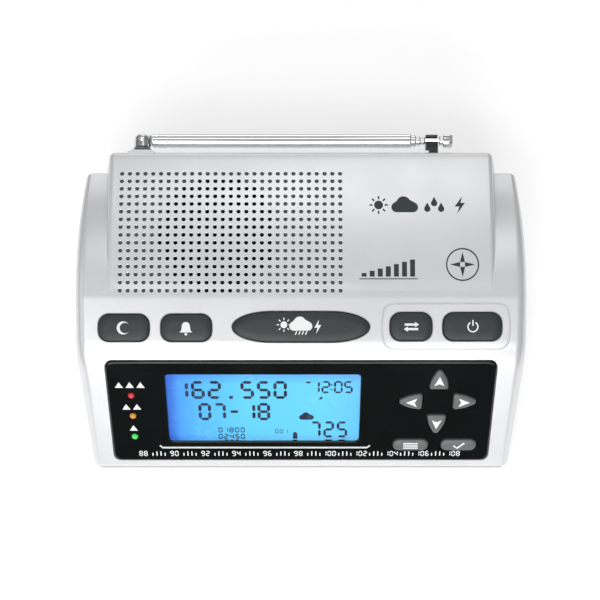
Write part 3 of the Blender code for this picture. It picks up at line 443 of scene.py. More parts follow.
def add_tower(shape, layers, place=WORLD):
    """Joins outlines with the same number of points, given as (outline, z) from the bottom up."""
    rings = [[shape.verts.new((x, y, z)) for x, y in outline] for outline, z in layers]
    count = len(rings[0])
    for lower, upper in zip(rings, rings[1:]):
        for n in range(count):
            after = (n + 1) % count
            shape.faces.new((lower[n], lower[after], upper[after], upper[n]))
    shape.faces.new(rings[0][::-1])
    shape.faces.new(rings[-1])
    bmesh.ops.transform(shape, matrix=place, verts=[v for ring in rings for v in ring])


def lathe(profile, place=WORLD, steps=48):
    """Spins a closed profile of (radius, height) about Z. A radius of 0 makes a pole."""
    shape = bmesh.new()
    rings = []
    for radius, height in profile:
        spots = circle(radius, steps) if radius else [(0.0, 0.0)]
        rings.append([shape.verts.new((x, y, height)) for x, y in spots])
    last = len(profile) if profile[0][0] > 0 else len(profile) - 1
    for n in range(last):
        lower = rings[n]
        upper = rings[(n + 1) % len(rings)]
        for k in range(steps):
            after = (k + 1) % steps
            corners = [lower[k % len(lower)], lower[after % len(lower)]]
            corners += [upper[after % len(upper)], upper[k % len(upper)]]
            unique = list(dict.fromkeys(corners))
            if len(unique) > 2:
                shape.faces.new(unique)
    bmesh.ops.transform(shape, matrix=place, verts=shape.verts)
    return shape


def tower(*stacks):
    """A bmesh with one tower for each list of layers."""
    shape = bmesh.new()
    for layers in stacks:
        add_tower(shape, layers)
    return shape


def plates(outlines, low, high):
    return tower(*[[(outline, low), (outline, high)] for outline in outlines])


def block(low, high):
    return plates([rectangle(low, high)], low[2], high[2])


def new_object(name, data):
    obj = bpy.data.objects.new(name, data)
    bpy.context.scene.collection.objects.link(obj)
    return obj


def solid(name, shape, place=WORLD, look=None):
    """Turns a bmesh in millimetres into an object in metres."""
    bmesh.ops.transform(shape, matrix=Matrix.Scale(MM, 4) @ place, verts=shape.verts)
    bmesh.ops.recalc_face_normals(shape, faces=shape.faces)
    mesh = bpy.data.meshes.new(name)
    shape.to_mesh(mesh)
    shape.free()
    if look:
        mesh.materials.append(LOOKS[look])
    return new_object(name, mesh)


def boolean(target, other, operation):
    """Applies one Boolean step and removes the other solid."""
    modifier = target.modifiers.new(operation, "BOOLEAN")
    modifier.object = other
    modifier.operation = operation
    modifier.solver = "EXACT"
    graph = bpy.context.evaluated_depsgraph_get()
    shaped = bpy.data.meshes.new_from_object(target.evaluated_get(graph))
    target.modifiers.remove(modifier)
    spent = target.data
    target.data = shaped
    bpy.data.meshes.remove(spent)
    bpy.data.objects.remove(other, do_unlink=True)


def join(target, shape, place=WORLD):
    boolean(target, solid("joined", shape, place), "UNION")


def carve(target, shape, place=WORLD):
    boolean(target, solid("cutter", shape, place), "DIFFERENCE")


# The case's material slots after its paint: painted shade in dark grey for the blind grille holes and in near
# black for the through holes and the key wells.
PAINTED_SHADE = 1
PAINTED_DEEP_SHADE = 2


def paint(faces, level, index):
    """Marks a cutter's faces below the level, so that what they cut gets that material of the target, here a
    painted shade.
    """
    for face in faces:
        if all(vertex.co.z < level for vertex in face.verts):
            face.material_index = index


def dress(obj, body="housing", stands_for=(), slot=None, angle=35, bevel=0.0, weighted=False):
    """Smooths a piece, softens its edges if asked, and hangs it on its body."""
    obj.data.shade_smooth()
    obj.data.set_sharp_from_angle(angle=math.radians(angle))
    if bevel:
        soft = obj.modifiers.new("soft edges", "BEVEL")
        soft.width = bevel * MM
        soft.segments = 3
        soft.limit_method = "ANGLE"
        soft.angle_limit = math.radians(angle)
        soft.harden_normals = True
    elif weighted:
        weights = obj.modifiers.new("even shading", "WEIGHTED_NORMAL")
        weights.keep_sharp = True
    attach(obj, body)
    if stands_for:
        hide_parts(*stands_for)


def standing(node, slot, body="housing"):
    """What dress is told of a piece that stands for one node."""
    return {"body": body, "stands_for": [node], "slot": slot}


def piece(name, shape, look, place=WORLD, **details):
    dress(solid(name, shape, place, look), **details)


# The upper case. The side profile is a chain of (y, z, corner radius, arc steps).

POD_HALF_WIDTH = 87.2
POD_FRONT_Y = -4.0
POD_APEX = (58.0, 66.4)
POD_RADIUS = 285.0
POD_EDGE_ROUND = 2.8
POD_DRAFT = math.tan(math.radians(12.5))
POD_DRAFT_DEPTH = 13.0
POD_STEPS = 26
SIDE_ROUND = 5.5
SIDE_BOW_RADIUS = 750.0
WIDEST_Y = -3.0
REAR_ROUND = 1.6
# The round along each side narrows away from the middle, by the fade at the reach.
ROLL_FADE = 0.6
ROLL_MIDDLE_Y = -15.0
ROLL_REACH = 71.0
NOSE_ROUND = 26.0
SHELF_DEPTH = 26.36
SHOULDER_REAR_Y = 56.5
FAR_BELOW = -8.0
SLOPE = math.atan2(PANEL.to_3x3().col[1].z, PANEL.to_3x3().col[1].y)
NOSE_Z = PANEL.translation.z + (FRONT_Y - PANEL.translation.y) * math.tan(SLOPE)
GRILLE_START = (-80.65, -1.45)
GRILLE_PITCH = (3.51, 3.527)
GRILLE_COUNT = (29, 16)
SPEAKER_REACH = 26.6
HOLE_RADIUS = 0.9
# The middle and the outline size of each key, in the frame of its surface.
KEYS = {
    "snooze": ((-78.9, 12.6), (22.2, 11.6)),
    "alert": ((-51.1, 12.6), (22.2, 11.6)),
    "weather": ((0.0, 13.0), (60.6, 13.0)),
    "band": ((49.0, 13.1), (18.2, 12.0)),
    "radio": ((76.3, 13.1), (25.8, 12.0)),
}
PANEL_SIZE = (175.8, 56.6)
PANEL_CORNER = 3.5
PANEL_MIDDLE = (0.0, 28.5)
WINDOW = ((-17.2, 30.5), (88.3, 38.3))
LAMPS = {"warning": 38.0, "watch": 26.4, "advisory": 14.4}
LAMP_X = -77.3
PAD_MIDDLE = (62.4, 35.0)
# Each arrow key's turn and its distance from the pad's middle.
PAD_REACH = {"up": (0, 12.2), "left": (90, 12.4), "down": (180, 12.8), "right": (270, 12.2)}
SMALL_KEYS = {"menu": (51.1, 9.8), "select": (73.5, 9.8)}


def half_width(y):
    """The bowed side, with a small round where it meets the rear."""
    past = max(y - (SHOULDER_REAR_Y - REAR_ROUND), 0.0)
    bow = (y - WIDEST_Y) ** 2 / (2 * SIDE_BOW_RADIUS)
    return HALF_WIDTH - bow - REAR_ROUND + math.sqrt(max(REAR_ROUND**2 - past**2, 0.0))


def pod_top(y):
    return POD_APEX[1] - (y - POD_APEX[0]) ** 2 / (2 * POD_RADIUS)


def rounded_corner(corner, arriving, leaving, radius, steps):
    if not steps:
        return [tuple(corner)]
    bend = arriving.angle(leaving)
    centre = corner - arriving * radius * math.tan(bend / 2)
    centre += Vector((arriving.y, -arriving.x)) * radius
    start = Vector((-arriving.y, arriving.x)) * radius
    return [
        tuple(centre + Matrix.Rotation(-bend * step / steps, 2) @ start) for step in range(steps + 1)
    ]


def offset_chain(corners, distance):
    """The chain moved inwards by the distance, with its round corners drawn as arcs."""
    lines = []
    for start, end in zip(corners, corners[1:]):
        along = (Vector(end[:2]) - Vector(start[:2])).normalized()
        lines.append((Vector(start[:2]) + Vector((along.y, -along.x)) * distance, along))
    points = []
    for n, (first, second) in enumerate(zip(lines, lines[1:])):
        across = first[1].x * second[1].y - first[1].y * second[1].x
        apart = second[0] - first[0]
        corner = first[0] + first[1] * (apart.x * second[1].y - apart.y * second[1].x) / across
        radius, steps = corners[n + 1][2:]
        points += rounded_corner(corner, first[1], second[1], max(radius - distance, 0.15), steps)
    return points


def side_profile():
    """From the front's foot over the nose, the shelf, its crease and the shoulder to the rear."""
    start = SHELF.translation
    crease = start + SHELF.to_3x3().col[1] * SHELF_DEPTH
    return [
        (FRONT_Y, FAR_BELOW, 0, 0),
        (FRONT_Y, NOSE_Z, 2.5, 6),
        (start.y, start.z, NOSE_ROUND, 18),
        (crease.y, crease.z, 20.0, 6),
        (26.6, 64.5, 95.0, 26),
        (SHOULDER_REAR_Y, 54.0, REAR_ROUND, 5),
        (SHOULDER_REAR_Y, FAR_BELOW, 0, 0),
    ]


def stations(radius, steps):
    """(side, distance in from the side, drop from the top) across the form, from left to right."""
    edge = [(radius * (1 - sin), radius * (1 - cos)) for cos, sin in [(1, 0), *quarter(steps)]]
    return [(-1, *spot) for spot in reversed(edge)] + [(1, *spot) for spot in edge]


def add_loft(shape, sections):
    """Skins rows of sections, each a list of columns, and each column a list of points going down."""
    grid = [[[shape.verts.new(p) for p in column] for column in section] for section in sections]
    columns = len(grid[0])
    levels = len(grid[0][0])
    for left, right in zip(grid, grid[1:]):
        for n in range(columns - 1):
            shape.faces.new((left[n][0], right[n][0], right[n + 1][0], left[n + 1][0]))
            shape.faces.new((left[n][-1], left[n + 1][-1], right[n + 1][-1], right[n][-1]))
        for level in range(levels - 1):
            for n in (0, columns - 1):
                quad = (left[n][level], left[n][level + 1], right[n][level + 1], right[n][level])
                shape.faces.new(quad)
    for section in (grid[0], grid[-1]):
        for n in range(columns - 1):
            for level in range(levels - 1):
                upper = (section[n][level], section[n + 1][level])
                lower = (section[n + 1][level + 1], section[n][level + 1])
                shape.faces.new(upper + lower)


def body_loft(thinner=0.0):
    shape = bmesh.new()
    sections = []
    crest = offset_chain(side_profile(), thinner)
    for side, back, drop in stations(SIDE_ROUND, 10):
        columns = []
        for (y0, z0), (y1, z1) in zip(crest, offset_chain(side_profile(), drop + thinner)):
            share = 1 - ROLL_FADE * ((y0 - ROLL_MIDDLE_Y) / ROLL_REACH) ** 2
            y = y0 + (y1 - y0) * share
            x = side * (half_width(y) - thinner - back * share)
            columns.append([(x, y, z0 + (z1 - z0) * share), (x, y, FAR_BELOW)])
        sections.append(columns)
    add_loft(shape, sections)
    return shape


def pod_column(side, y, top, back, drop, thinner):
    z = top - drop - thinner
    x = POD_HALF_WIDTH - thinner - back
    foot = x + POD_DRAFT_DEPTH * POD_DRAFT
    return [(side * x, y, z), (side * foot, y, z - POD_DRAFT_DEPTH), (side * foot, y, FAR_BELOW)]


def pod_loft(thinner=0.0):
    shape = bmesh.new()
    front = POD_FRONT_Y + thinner
    level = front + 6.0
    sections = []
    for side, back, drop in stations(POD_EDGE_ROUND, 5):
        edge = max(POD_EDGE_ROUND - drop, 0.15)
        rear = POD_REAR_Y - thinner - drop
        columns = [pod_column(side, front, pod_top(front) - 0.27, back, drop, thinner)]
        for step in range(POD_STEPS + 1):
            y = level + (rear - edge - level) * step / POD_STEPS
            columns.append(pod_column(side, y, pod_top(y), back, drop, thinner))
        for cos, sin in quarter(5):
            y = rear - edge * (1 - sin)
            columns.append(pod_column(side, y, pod_top(y) - edge * (1 - cos), back, drop, thinner))
        sections.append(columns)
    add_loft(shape, sections)
    return shape


def key_outline(name, grow=0.0):
    centre, size = KEYS[name]
    outline = long_oval(*size) if name == "weather" else bowed_rectangle(*size, radius=3.4)
    return moved(inset(outline, -grow), centre)


def grille_holes():
    """(x, y, over the speaker) of every hole in the pod."""
    holes = []
    for column in range(GRILLE_COUNT[0]):
        for row in range(GRILLE_COUNT[1]):
            x = GRILLE_START[0] + column * GRILLE_PITCH[0]
            y = GRILLE_START[1] + row * GRILLE_PITCH[1]
            reach = math.hypot(x - SPEAKER.x, y - SPEAKER.y + 2.5)
            holes.append((x, y, reach < SPEAKER_REACH))
    return holes


def add_antenna_seat(case):
    pin_x = PIVOT.translation.x
    root = POD_REAR_Y - WALL / 2
    face = POD_REAR_Y + 1.1
    seat = [(pin_x - 6.2, root), (pin_x + 6.2, root), (pin_x + 6.2, POD_REAR_Y)]
    seat += [(pin_x + 3.6, face), (pin_x - 3.6, face), (pin_x - 6.2, POD_REAR_Y)]
    join(case, tower([(seat, 53.5), (seat, 65.4), (inset(seat, 0.4), 66.1)]))


def cut_panel_seat(case):
    recess = moved(inset(rounded_rectangle(*PANEL_SIZE, PANEL_CORNER), -PARTING), PANEL_MIDDLE)
    carve(case, plates([recess], -1.6, 12.0), PANEL)
    carve(case, plates([inset(recess, 3.3)], -9.0, 4.0), PANEL)


def cut_key_wells(case):
    wells = bmesh.new()
    for name in KEYS:
        well = key_outline(name, 0.45)
        rim = key_outline(name, 0.85)
        add_tower(wells, [(well, -6.0), (well, -0.5), (well, -0.35), (rim, 0.05), (rim, 6.0)])
    # The well walls below the rim get near-black painted shade.
    paint(wells.faces, -0.4, PAINTED_DEEP_SHADE)
    carve(case, wells, SHELF)


def cut_groove(case):
    """The groove round the two right-hand keys of the shelf."""
    outer = moved(bowed_rectangle(57.9, 21.3, 3.6, 1.6), (64.55, 13.25))
    kept = inset(outer, 0.95)
    groove = solid("groove", tower([(inset(outer, 0.4), -0.55), (outer, 0.05), (outer, 3.0)]), SHELF)
    carve(groove, tower([(inset(outer, 0.55), -0.65), (kept, 0.05), (kept, 4.0)]), SHELF)
    boolean(case, groove, "DIFFERENCE")


def cut_grille(case):
    holes = bmesh.new()
    for x, y, through in grille_holes():
        top = pod_top(y)
        floor = top - (3.2 if through else 1.15)
        hole = circle(HOLE_RADIUS, 12, (x, y))
        mouth = circle(HOLE_RADIUS + 0.18, 12, (x, y))
        first = len(holes.faces)
        add_tower(holes, [(hole, floor), (hole, top - 0.16), (mouth, top + 0.03), (mouth, top + 2.0)])
        holes.faces.ensure_lookup_table()
        # Hole walls and floors get painted shade: near black over the speaker, dark grey in the blind holes.
        paint(holes.faces[first:], top - 0.1, PAINTED_DEEP_SHADE if through else PAINTED_SHADE)
    carve(case, holes)


def cut_rear(case):
    """The openings for the three sockets, the antenna's bush and the switch."""
    start = POD_REAR_Y - 6.0
    rear = bmesh.new()
    spots = [(middle_of("dc_jack"), 4.7), (middle_of("antenna_jack"), 3.6)]
    spots += [(middle_of("alert_jack"), 3.2), (PIVOT.translation, 3.9)]
    for spot, radius in spots:
        place = Matrix.Translation((spot.x, start, spot.z)) @ ALONG_Y
        add_tower(rear, [(circle(radius), 0.0), (circle(radius), 12.0)], place)
    switch = middle_of("antenna_switch")
    slot = rectangle((switch.x - 3.25, start), (switch.x + 5.75, start + 12.0))
    add_tower(rear, [(slot, switch.z - 1.9), (slot, switch.z + 1.9)])
    carve(case, rear)


def make_upper_case():
    case = solid("upper_case", body_loft(), look="silver_paint")
    # Two more slots, grey and near-black painted shade for the hollows.
    for look in ("painted_shade_grey", "painted_shade_black"):
        case.data.materials.append(LOOKS[look])
    join(case, pod_loft())
    add_antenna_seat(case)
    carve(case, block((-150, -150, -40), (150, 150, SEAM_Z)))
    hollow = solid("hollow", body_loft(WALL))
    join(hollow, pod_loft(WALL))
    boolean(case, hollow, "DIFFERENCE")
    cut_panel_seat(case)
    cut_key_wells(case)
    cut_groove(case)
    cut_grille(case)
    cut_rear(case)
    dress(case, angle=32, weighted=True, **standing("top_case", "silver_paint"))


def make_grille_cloth():
    outline = [(y, pod_top(y) - WALL - 0.2) for y in (-1.5, 8, 18, 28, 38, 50.5)]
    outline += [(y, z - 0.4) for y, z in reversed(outline)]
    cloth = bmesh.new()
    add_tower(cloth, [(outline, SPEAKER.x - 28.0), (outline, SPEAKER.x + 28.0)], ACROSS)
    piece("grille_cloth", cloth, "speaker_cloth")


# The front panel, its display and its keys.


def arrow_outline(name, grow=0.0):
    degrees, reach = PAD_REACH[name]
    outline = moved(inset(pointed_key(8.6, 10.4), -grow), (0.0, reach))
    return moved(turned(outline, degrees), PAD_MIDDLE)


def small_key_outline(name, grow=0.0):
    return moved(inset(bowed_rectangle(16.4, 6.4, 2.2, 0.8), -grow), SMALL_KEYS[name])


def make_panel():
    outline = moved(rounded_rectangle(*PANEL_SIZE, PANEL_CORNER), PANEL_MIDDLE)
    layers = [(outline, -1.3), (outline, -0.2)]
    layers += [(inset(outline, 0.9 * (1 - cos)), -0.2 + 0.8 * sin) for cos, sin in quarter(6)]
    panel = solid("panel", tower(layers), PANEL, "gloss_black")
    holes = bmesh.new()
    window = moved(rounded_rectangle(*WINDOW[1], 1.5), WINDOW[0])
    wide = inset(window, -0.3)
    add_tower(holes, [(window, -4.0), (window, 0.3), (wide, 0.65), (wide, 4.0)])
    for height in LAMPS.values():
        spot = circle(1.75, 32, (LAMP_X, height))
        add_tower(holes, [(spot, -4.0), (spot, 4.0)])
    keys = [(arrow_outline, name) for name in PAD_REACH]
    keys += [(small_key_outline, name) for name in SMALL_KEYS]
    for outline_of, name in keys:
        well = outline_of(name, 0.4)
        rim = outline_of(name, 0.75)
        add_tower(holes, [(well, -4.0), (well, 0.2), (rim, 0.65), (rim, 4.0)])
    carve(panel, holes, PANEL)
    dress(panel, weighted=True, **standing("front_panel", "gloss_black"))

    # A raised lip along the window's foot. Its light grey is a painted highlight where the glossy panel catches
    # the light.
    lip = [(-65.9, 9.4), (-64.8, 8.1), (30.9, 8.1), (32.2, 9.4)]
    piece("window_lip_painted_highlight", plates([stroke(lip, 0.95)], 0.4, 0.95), "lip_painted_highlight", PANEL, bevel=0.2)
    lens = moved(rounded_rectangle(WINDOW[1][0] - 0.6, WINDOW[1][1] - 0.6, 1.4), WINDOW[0])
    details = standing("lcd_window", "clear_window")
    piece("window_lens", plates([lens], -1.1, -0.1), "clear_window", PANEL, **details)


BARS = ["abcdef", "bc", "abged", "abgcd", "fgbc", "afgcd", "afgedc", "abc", "abcdefg", "abcdfg", "g"]
SEGMENTS = dict(zip("0123456789-", BARS))


def bar_outline(start, end, thick, upright):
    """A bar with pointed ends."""
    half = thick / 2
    bar = [(start, 0), (start + half, -half), (end - half, -half)]
    bar += [(end, 0), (end - half, half), (start + half, half)]
    return [(-y, x) for x, y in bar] if upright else bar


def digit_plates(text, left, low, width, height, pitch, thick):
    """Seven-segment figures, as the outlines of their bars."""
    outlines = []
    middle = height / 2
    half = thick / 2
    gap = thick * 0.14
    dot = thick * 0.55
    level = {"a": height - half, "g": middle, "d": half}
    side = {"f": (0, 1), "b": (1, 1), "e": (0, 0), "c": (1, 0)}
    for n, figure in enumerate(text):
        x = left + n * pitch
        if figure == ".":
            outlines.append(moved(rectangle((-dot, -dot), (dot, dot)), (x + width / 2, low + dot)))
        for name in SEGMENTS.get(figure, ""):
            if name in level:
                bar = bar_outline(half + gap, width - half - gap, thick, False)
                outlines.append(moved(bar, (x, low + level[name])))
            else:
                right, upper = side[name]
                start = (middle if upper else half) + gap
                end = (height - half if upper else middle) - gap
                across = width - half if right else half
                outlines.append(moved(bar_outline(start, end, thick, True), (x + across, low)))
    return outlines


def cloud_outline(size, centre):
    lobes = arc(0.22, 270, 130, 10, (-0.36, -0.06))
    lobes += arc(0.3, 170, 30, 12, (-0.06, 0.12))[1:]
    lobes += arc(0.22, 60, -90, 10, (0.34, -0.06))
    return moved([(x * size, y * size) for x, y in lobes], centre)


def make_display():
    """The display's figures. Each row is a text, its corner, its figures' size, pitch and thickness."""
    marks = []
    for row in (
        ("162.550", -57.6, 34.5, 6.2, 10.0, 7.5, 1.5),
        ("07-18", -47.3, 22.2, 5.9, 9.9, 6.8, 1.5),
        ("12", 4.6, 37.7, 4.0, 6.8, 4.7, 0.95),
        ("05", 15.0, 37.7, 4.0, 6.8, 4.6, 0.95),
        ("725", 4.2, 12.1, 5.0, 9.4, 6.2, 1.25),
        ("01800", -38.6, 15.0, 2.1, 3.0, 2.6, 0.55),
        ("02450", -38.6, 11.2, 2.1, 3.0, 2.6, 0.55),
        ("001", -12.1, 14.6, 1.6, 2.2, 2.2, 0.35),
    ):
        marks += digit_plates(*row)
    marks += [rectangle((13.55, 39.4), (14.3, 40.15)), rectangle((13.55, 42.0), (14.3, 42.75))]
    marks += [rectangle((2.3, 43.3), (4.4, 44.2)), [(7.8, 34.2), (9.7, 34.2), (9.7, 36.0)]]
    marks += [rectangle((-3.8, 11.4), (-1.7, 14.6)), rectangle((-3.3, 14.6), (-2.2, 15.3))]
    marks.append(cloud_outline(6.0, (2.6, 24.2)))
    piece("lcd_marks", plates(marks, -2.18, -2.1), "lcd_segment", PANEL)


def add_cap(name, outline_of, look, top, place, flange, seat, crown):
    """A key's cap with a rounded edge and a crowned top, its flange and its stem."""
    cap = outline_of(name)
    wide = outline_of(name, flange)
    stem = inset(cap, 2.2)
    layers = [(stem, seat - 4.0), (stem, seat - 0.7), (wide, seat - 0.7), (wide, seat), (cap, seat)]
    edge = top - crown
    for cos, sin in [(1, 0), *quarter(6)[:-1]]:
        layers.append((inset(cap, 0.6 * (1 - cos)), edge - 0.6 * (1 - sin)))
    for step in range(1, 7):
        share = step / 6
        layers.append((inset(cap, 0.44 + 3.2 * share), edge + crown * (1 - (1 - share) ** 2)))
    body = f"{name}_button"
    piece(f"{name}_key", tower(layers), look, place, **standing(body, look, body))


def make_keys():
    for name in PAD_REACH:
        add_cap(name, arrow_outline, "key_grey", 1.9, PANEL, 1.1, -1.9, 0.5)
    for name in SMALL_KEYS:
        add_cap(name, small_key_outline, "key_grey", 1.6, PANEL, 1.1, -1.9, 0.3)
    for name in KEYS:
        add_cap(name, key_outline, "charcoal_rubber", 1.6, SHELF, 1.2, -2.5, 0.6)


def make_key_marks():
    for name, (degrees, reach) in PAD_REACH.items():
        head = [(0.0, 2.7), (-2.3, -2.3), (0.0, -1.2), (2.3, -2.3)]
        spot = moved(turned(moved(head, (0.0, reach - 0.5)), degrees), PAD_MIDDLE)
        piece(f"{name}_mark", plates([spot], 1.5, 1.98), "white_print", PANEL, body=f"{name}_button")
    x, y = SMALL_KEYS["menu"]
    bars = [rectangle((x - 3.4, y + d - 0.35), (x + 3.4, y + d + 0.35)) for d in (-1.3, 0.0, 1.3)]
    x, y = SMALL_KEYS["select"]
    tick = stroke([(x - 2.4, y + 0.1), (x - 0.7, y - 1.4), (x + 2.6, y + 1.6)], 0.8)
    for name, outlines in (("menu", bars), ("select", [tick])):
        shape = plates(outlines, 1.3, 1.68)
        piece(f"{name}_mark", shape, "white_print", PANEL, body=f"{name}_button")
    for name, outlines in shelf_marks().items():
        shape = plates([moved(o, KEYS[name][0]) for o in outlines], 1.2, 1.68)
        piece(f"{name}_mark", shape, "white_print", SHELF, body=f"{name}_button")


def shelf_marks():
    """Plain pictograms: moon, bell, cloud with rain, a pair of arrows and the usual power sign."""
    moon = arc(2.9, 40, 320, 30) + arc(2.35, 307.5, 52.5, 24, (0.79, 0.0))
    bell = arc(1.75, 180, 0, 14, (0.0, 0.9)) + [(2.1, -1.2), (2.9, -2.0), (-2.9, -2.0), (-2.1, -1.2)]
    clapper = circle(0.62, 16, (0.0, -2.75))
    cloud = cloud_outline(9.0, (0.0, 0.9))
    rain = [stroke([(x + 0.35, -1.9), (x - 0.35, -3.4)], 0.5) for x in (-2.2, -0.7, 0.8, 2.3)]
    sun = sun_outlines(1.5, 24, (2.1, 3.2, 0.22), (-7.6, 1.0))
    bolt = moved([(0.6, 3.0), (-1.5, -0.5), (-0.1, -0.5), (-0.7, -3.2), (1.6, 0.7), (0.2, 0.7)], (7.4, 0.2))
    right = [(-3.0, 0.5), (1.6, 0.5), (1.6, -0.2), (3.4, 1.0), (1.6, 2.2), (1.6, 1.5), (-3.0, 1.5)]
    left = [(-x, -y) for x, y in right]
    power = ring_outlines(2.5, 1.9, 120, 300, 20) + [rectangle((-0.3, 0.4), (0.3, 3.1))]
    return {
        "snooze": [moon],
        "alert": [bell, clapper],
        "weather": [cloud, *rain, *sun, bolt],
        "band": [right, left],
        "radio": power,
    }


def make_panel_marks():
    """A row of small triangles over each lamp and a dial with figures along the panel's foot."""
    outlines = []
    for count, height in zip((3, 2, 1), (43.9, 31.6, 19.4)):
        for n in range(count):
            x = LAMP_X - 0.2 + (n - (count - 1) / 2) * 4.9
            outlines.append([(x - 1.9, height - 1.4), (x + 1.9, height - 1.4), (x, height + 1.7)])
    pitch = 14.55
    figures = [str(figure) for figure in range(88, 110, 2)]
    for n, figure in enumerate(figures):
        x = -74.0 + n * pitch
        width = 2.2 * len(figure) - 0.4
        outlines += digit_plates(figure, x - width / 2, 2.9, 1.8, 3.1, 2.2, 0.48)
        for tick in range(4):
            middle = x + pitch / 2 + (tick - 1.5) * 1.9
            if n < len(figures) - 1:
                tall = 2.6 if tick in (1, 2) else 1.7
                outlines.append(rectangle((middle - 0.27, 3.1), (middle + 0.27, 3.1 + tall)))
    piece("panel_print", plates(outlines, 0.55, 0.63), "white_print", PANEL)


def make_pod_marks():
    """Plain pictograms printed on the pod: a row of four, a level gauge and a ringed compass."""
    row = sun_outlines(2.0, 28, (2.7, 4.1, 0.36), (34.8, 36.8))
    row.append(cloud_outline(10.5, (46.6, 36.4)))
    drop = arc(1.4, 150, 390, 16) + [(0.0, 3.0)]
    row += [moved(drop, spot) for spot in ((56.6, 35.0), (59.7, 37.6), (62.8, 35.0))]
    bolt = [(1.2, 4.1), (-2.3, -0.7), (-0.2, -0.7), (-1.3, -4.1), (2.3, 1.0), (0.3, 1.0)]
    row.append(moved(bolt, (71.2, 36.8)))
    gauge = []
    for n in range(7):
        gauge.append(rectangle((27.0 + n * 3.6, 4.6), (29.2 + n * 3.6, 6.2 + n * 1.0)))
    gauge.append(rectangle((26.0, 3.4), (52.0, 3.8)))
    compass = ring_outlines(7.4, 6.8, 0, 360, 24)
    compass += [turned([(-1.1, 1.1), (1.1, 1.1), (0.0, 5.6)], 90 * n) for n in range(4)]
    compass = [moved(outline, (72.0, 10.0)) for outline in compass]
    for name, outlines, y in (
        ("row_print", row, 36.8),
        ("gauge_print", gauge, 8.5),
        ("compass_print", compass, 10.0),
    ):
        slope = (POD_APEX[0] - y) / POD_RADIUS
        place = Matrix.Translation((0, y, pod_top(y))) @ Matrix.Rotation(math.atan(slope), 4, "X")
        flat = [moved(outline, (0.0, -y)) for outline in outlines]
        piece(name, plates(flat, -0.35, 0.03), "grey_print", place)


def make_lamps():
    for name, look in (("warning", "red_led"), ("watch", "amber_led"), ("advisory", "green_led")):
        profile = [(0, -7.6), (1.85, -7.6), (1.85, -6.6), (1.5, -6.6), (1.5, 0.2)]
        profile += [(1.5 * cos, 0.2 + 1.2 * sin) for cos, sin in quarter(5)]
        place = PANEL @ Matrix.Translation((LAMP_X, LAMPS[name], 0))
        piece(f"{name}_lamp", lathe(profile), look, place, **standing(f"{name}_led", look))


# The antenna, drawn from its pin with x along the stowed rod.

PIN_HOLE = 0.95
TONGUE = 0.75


def from_pin(node):
    low, high = box_mm(node)
    return low - PIVOT.translation, high - PIVOT.translation


def make_knuckle():
    seat = from_pin("antenna_base")[1].y
    near = seat + 0.4
    inner = from_pin("antenna_swivel")[0].y
    profile = [(0, inner), (2.3, inner), (2.3, inner + 1.4), (1.7, inner + 1.4), (1.7, near)]
    radius = 3.85
    profile += [(3.5, near), (radius, near + 0.35), (radius, 0.4)]
    profile += [(radius * cos, 0.4 + 2.7 * sin) for cos, sin in quarter(9)]
    knuckle = solid("knuckle", lathe(profile, ALONG_Y, 64), PIVOT, "cast_knuckle")
    carve(knuckle, block((-5.0, -3.2, -1.0), (8.0, 6.0, 1.0)), PIVOT)
    carve(knuckle, plates([circle(PIN_HOLE)], -8.0, 8.0), PIVOT)
    dress(knuckle, bevel=0.15, **standing("antenna_swivel", "chrome", "antenna_swivel"))
    pin = [(0, -3.9), (1.3, -3.9), (1.5, -3.75), (0.85, -3.7), (0.85, 3.7), (1.55, 3.72)]
    pin += [(1.5, 3.95), (1.2, 4.15), (0.7, 4.25), (0, 4.27)]
    details = standing("antenna_pin", "steel", "antenna_swivel")
    piece("knuckle_pin", lathe(pin), "chrome", PIVOT, **details)
    low = from_pin("antenna_base")[0].y
    bush = [(1.85, low), (3.6, low), (3.6, seat - 0.9), (4.2, seat - 0.9), (4.2, seat - 0.2)]
    bush += [(4.0, seat), (1.85, seat)]
    details = standing("antenna_base", "grey_plastic")
    piece("knuckle_bush", lathe(bush, ALONG_Y), "grey_plastic", PIVOT, **details)


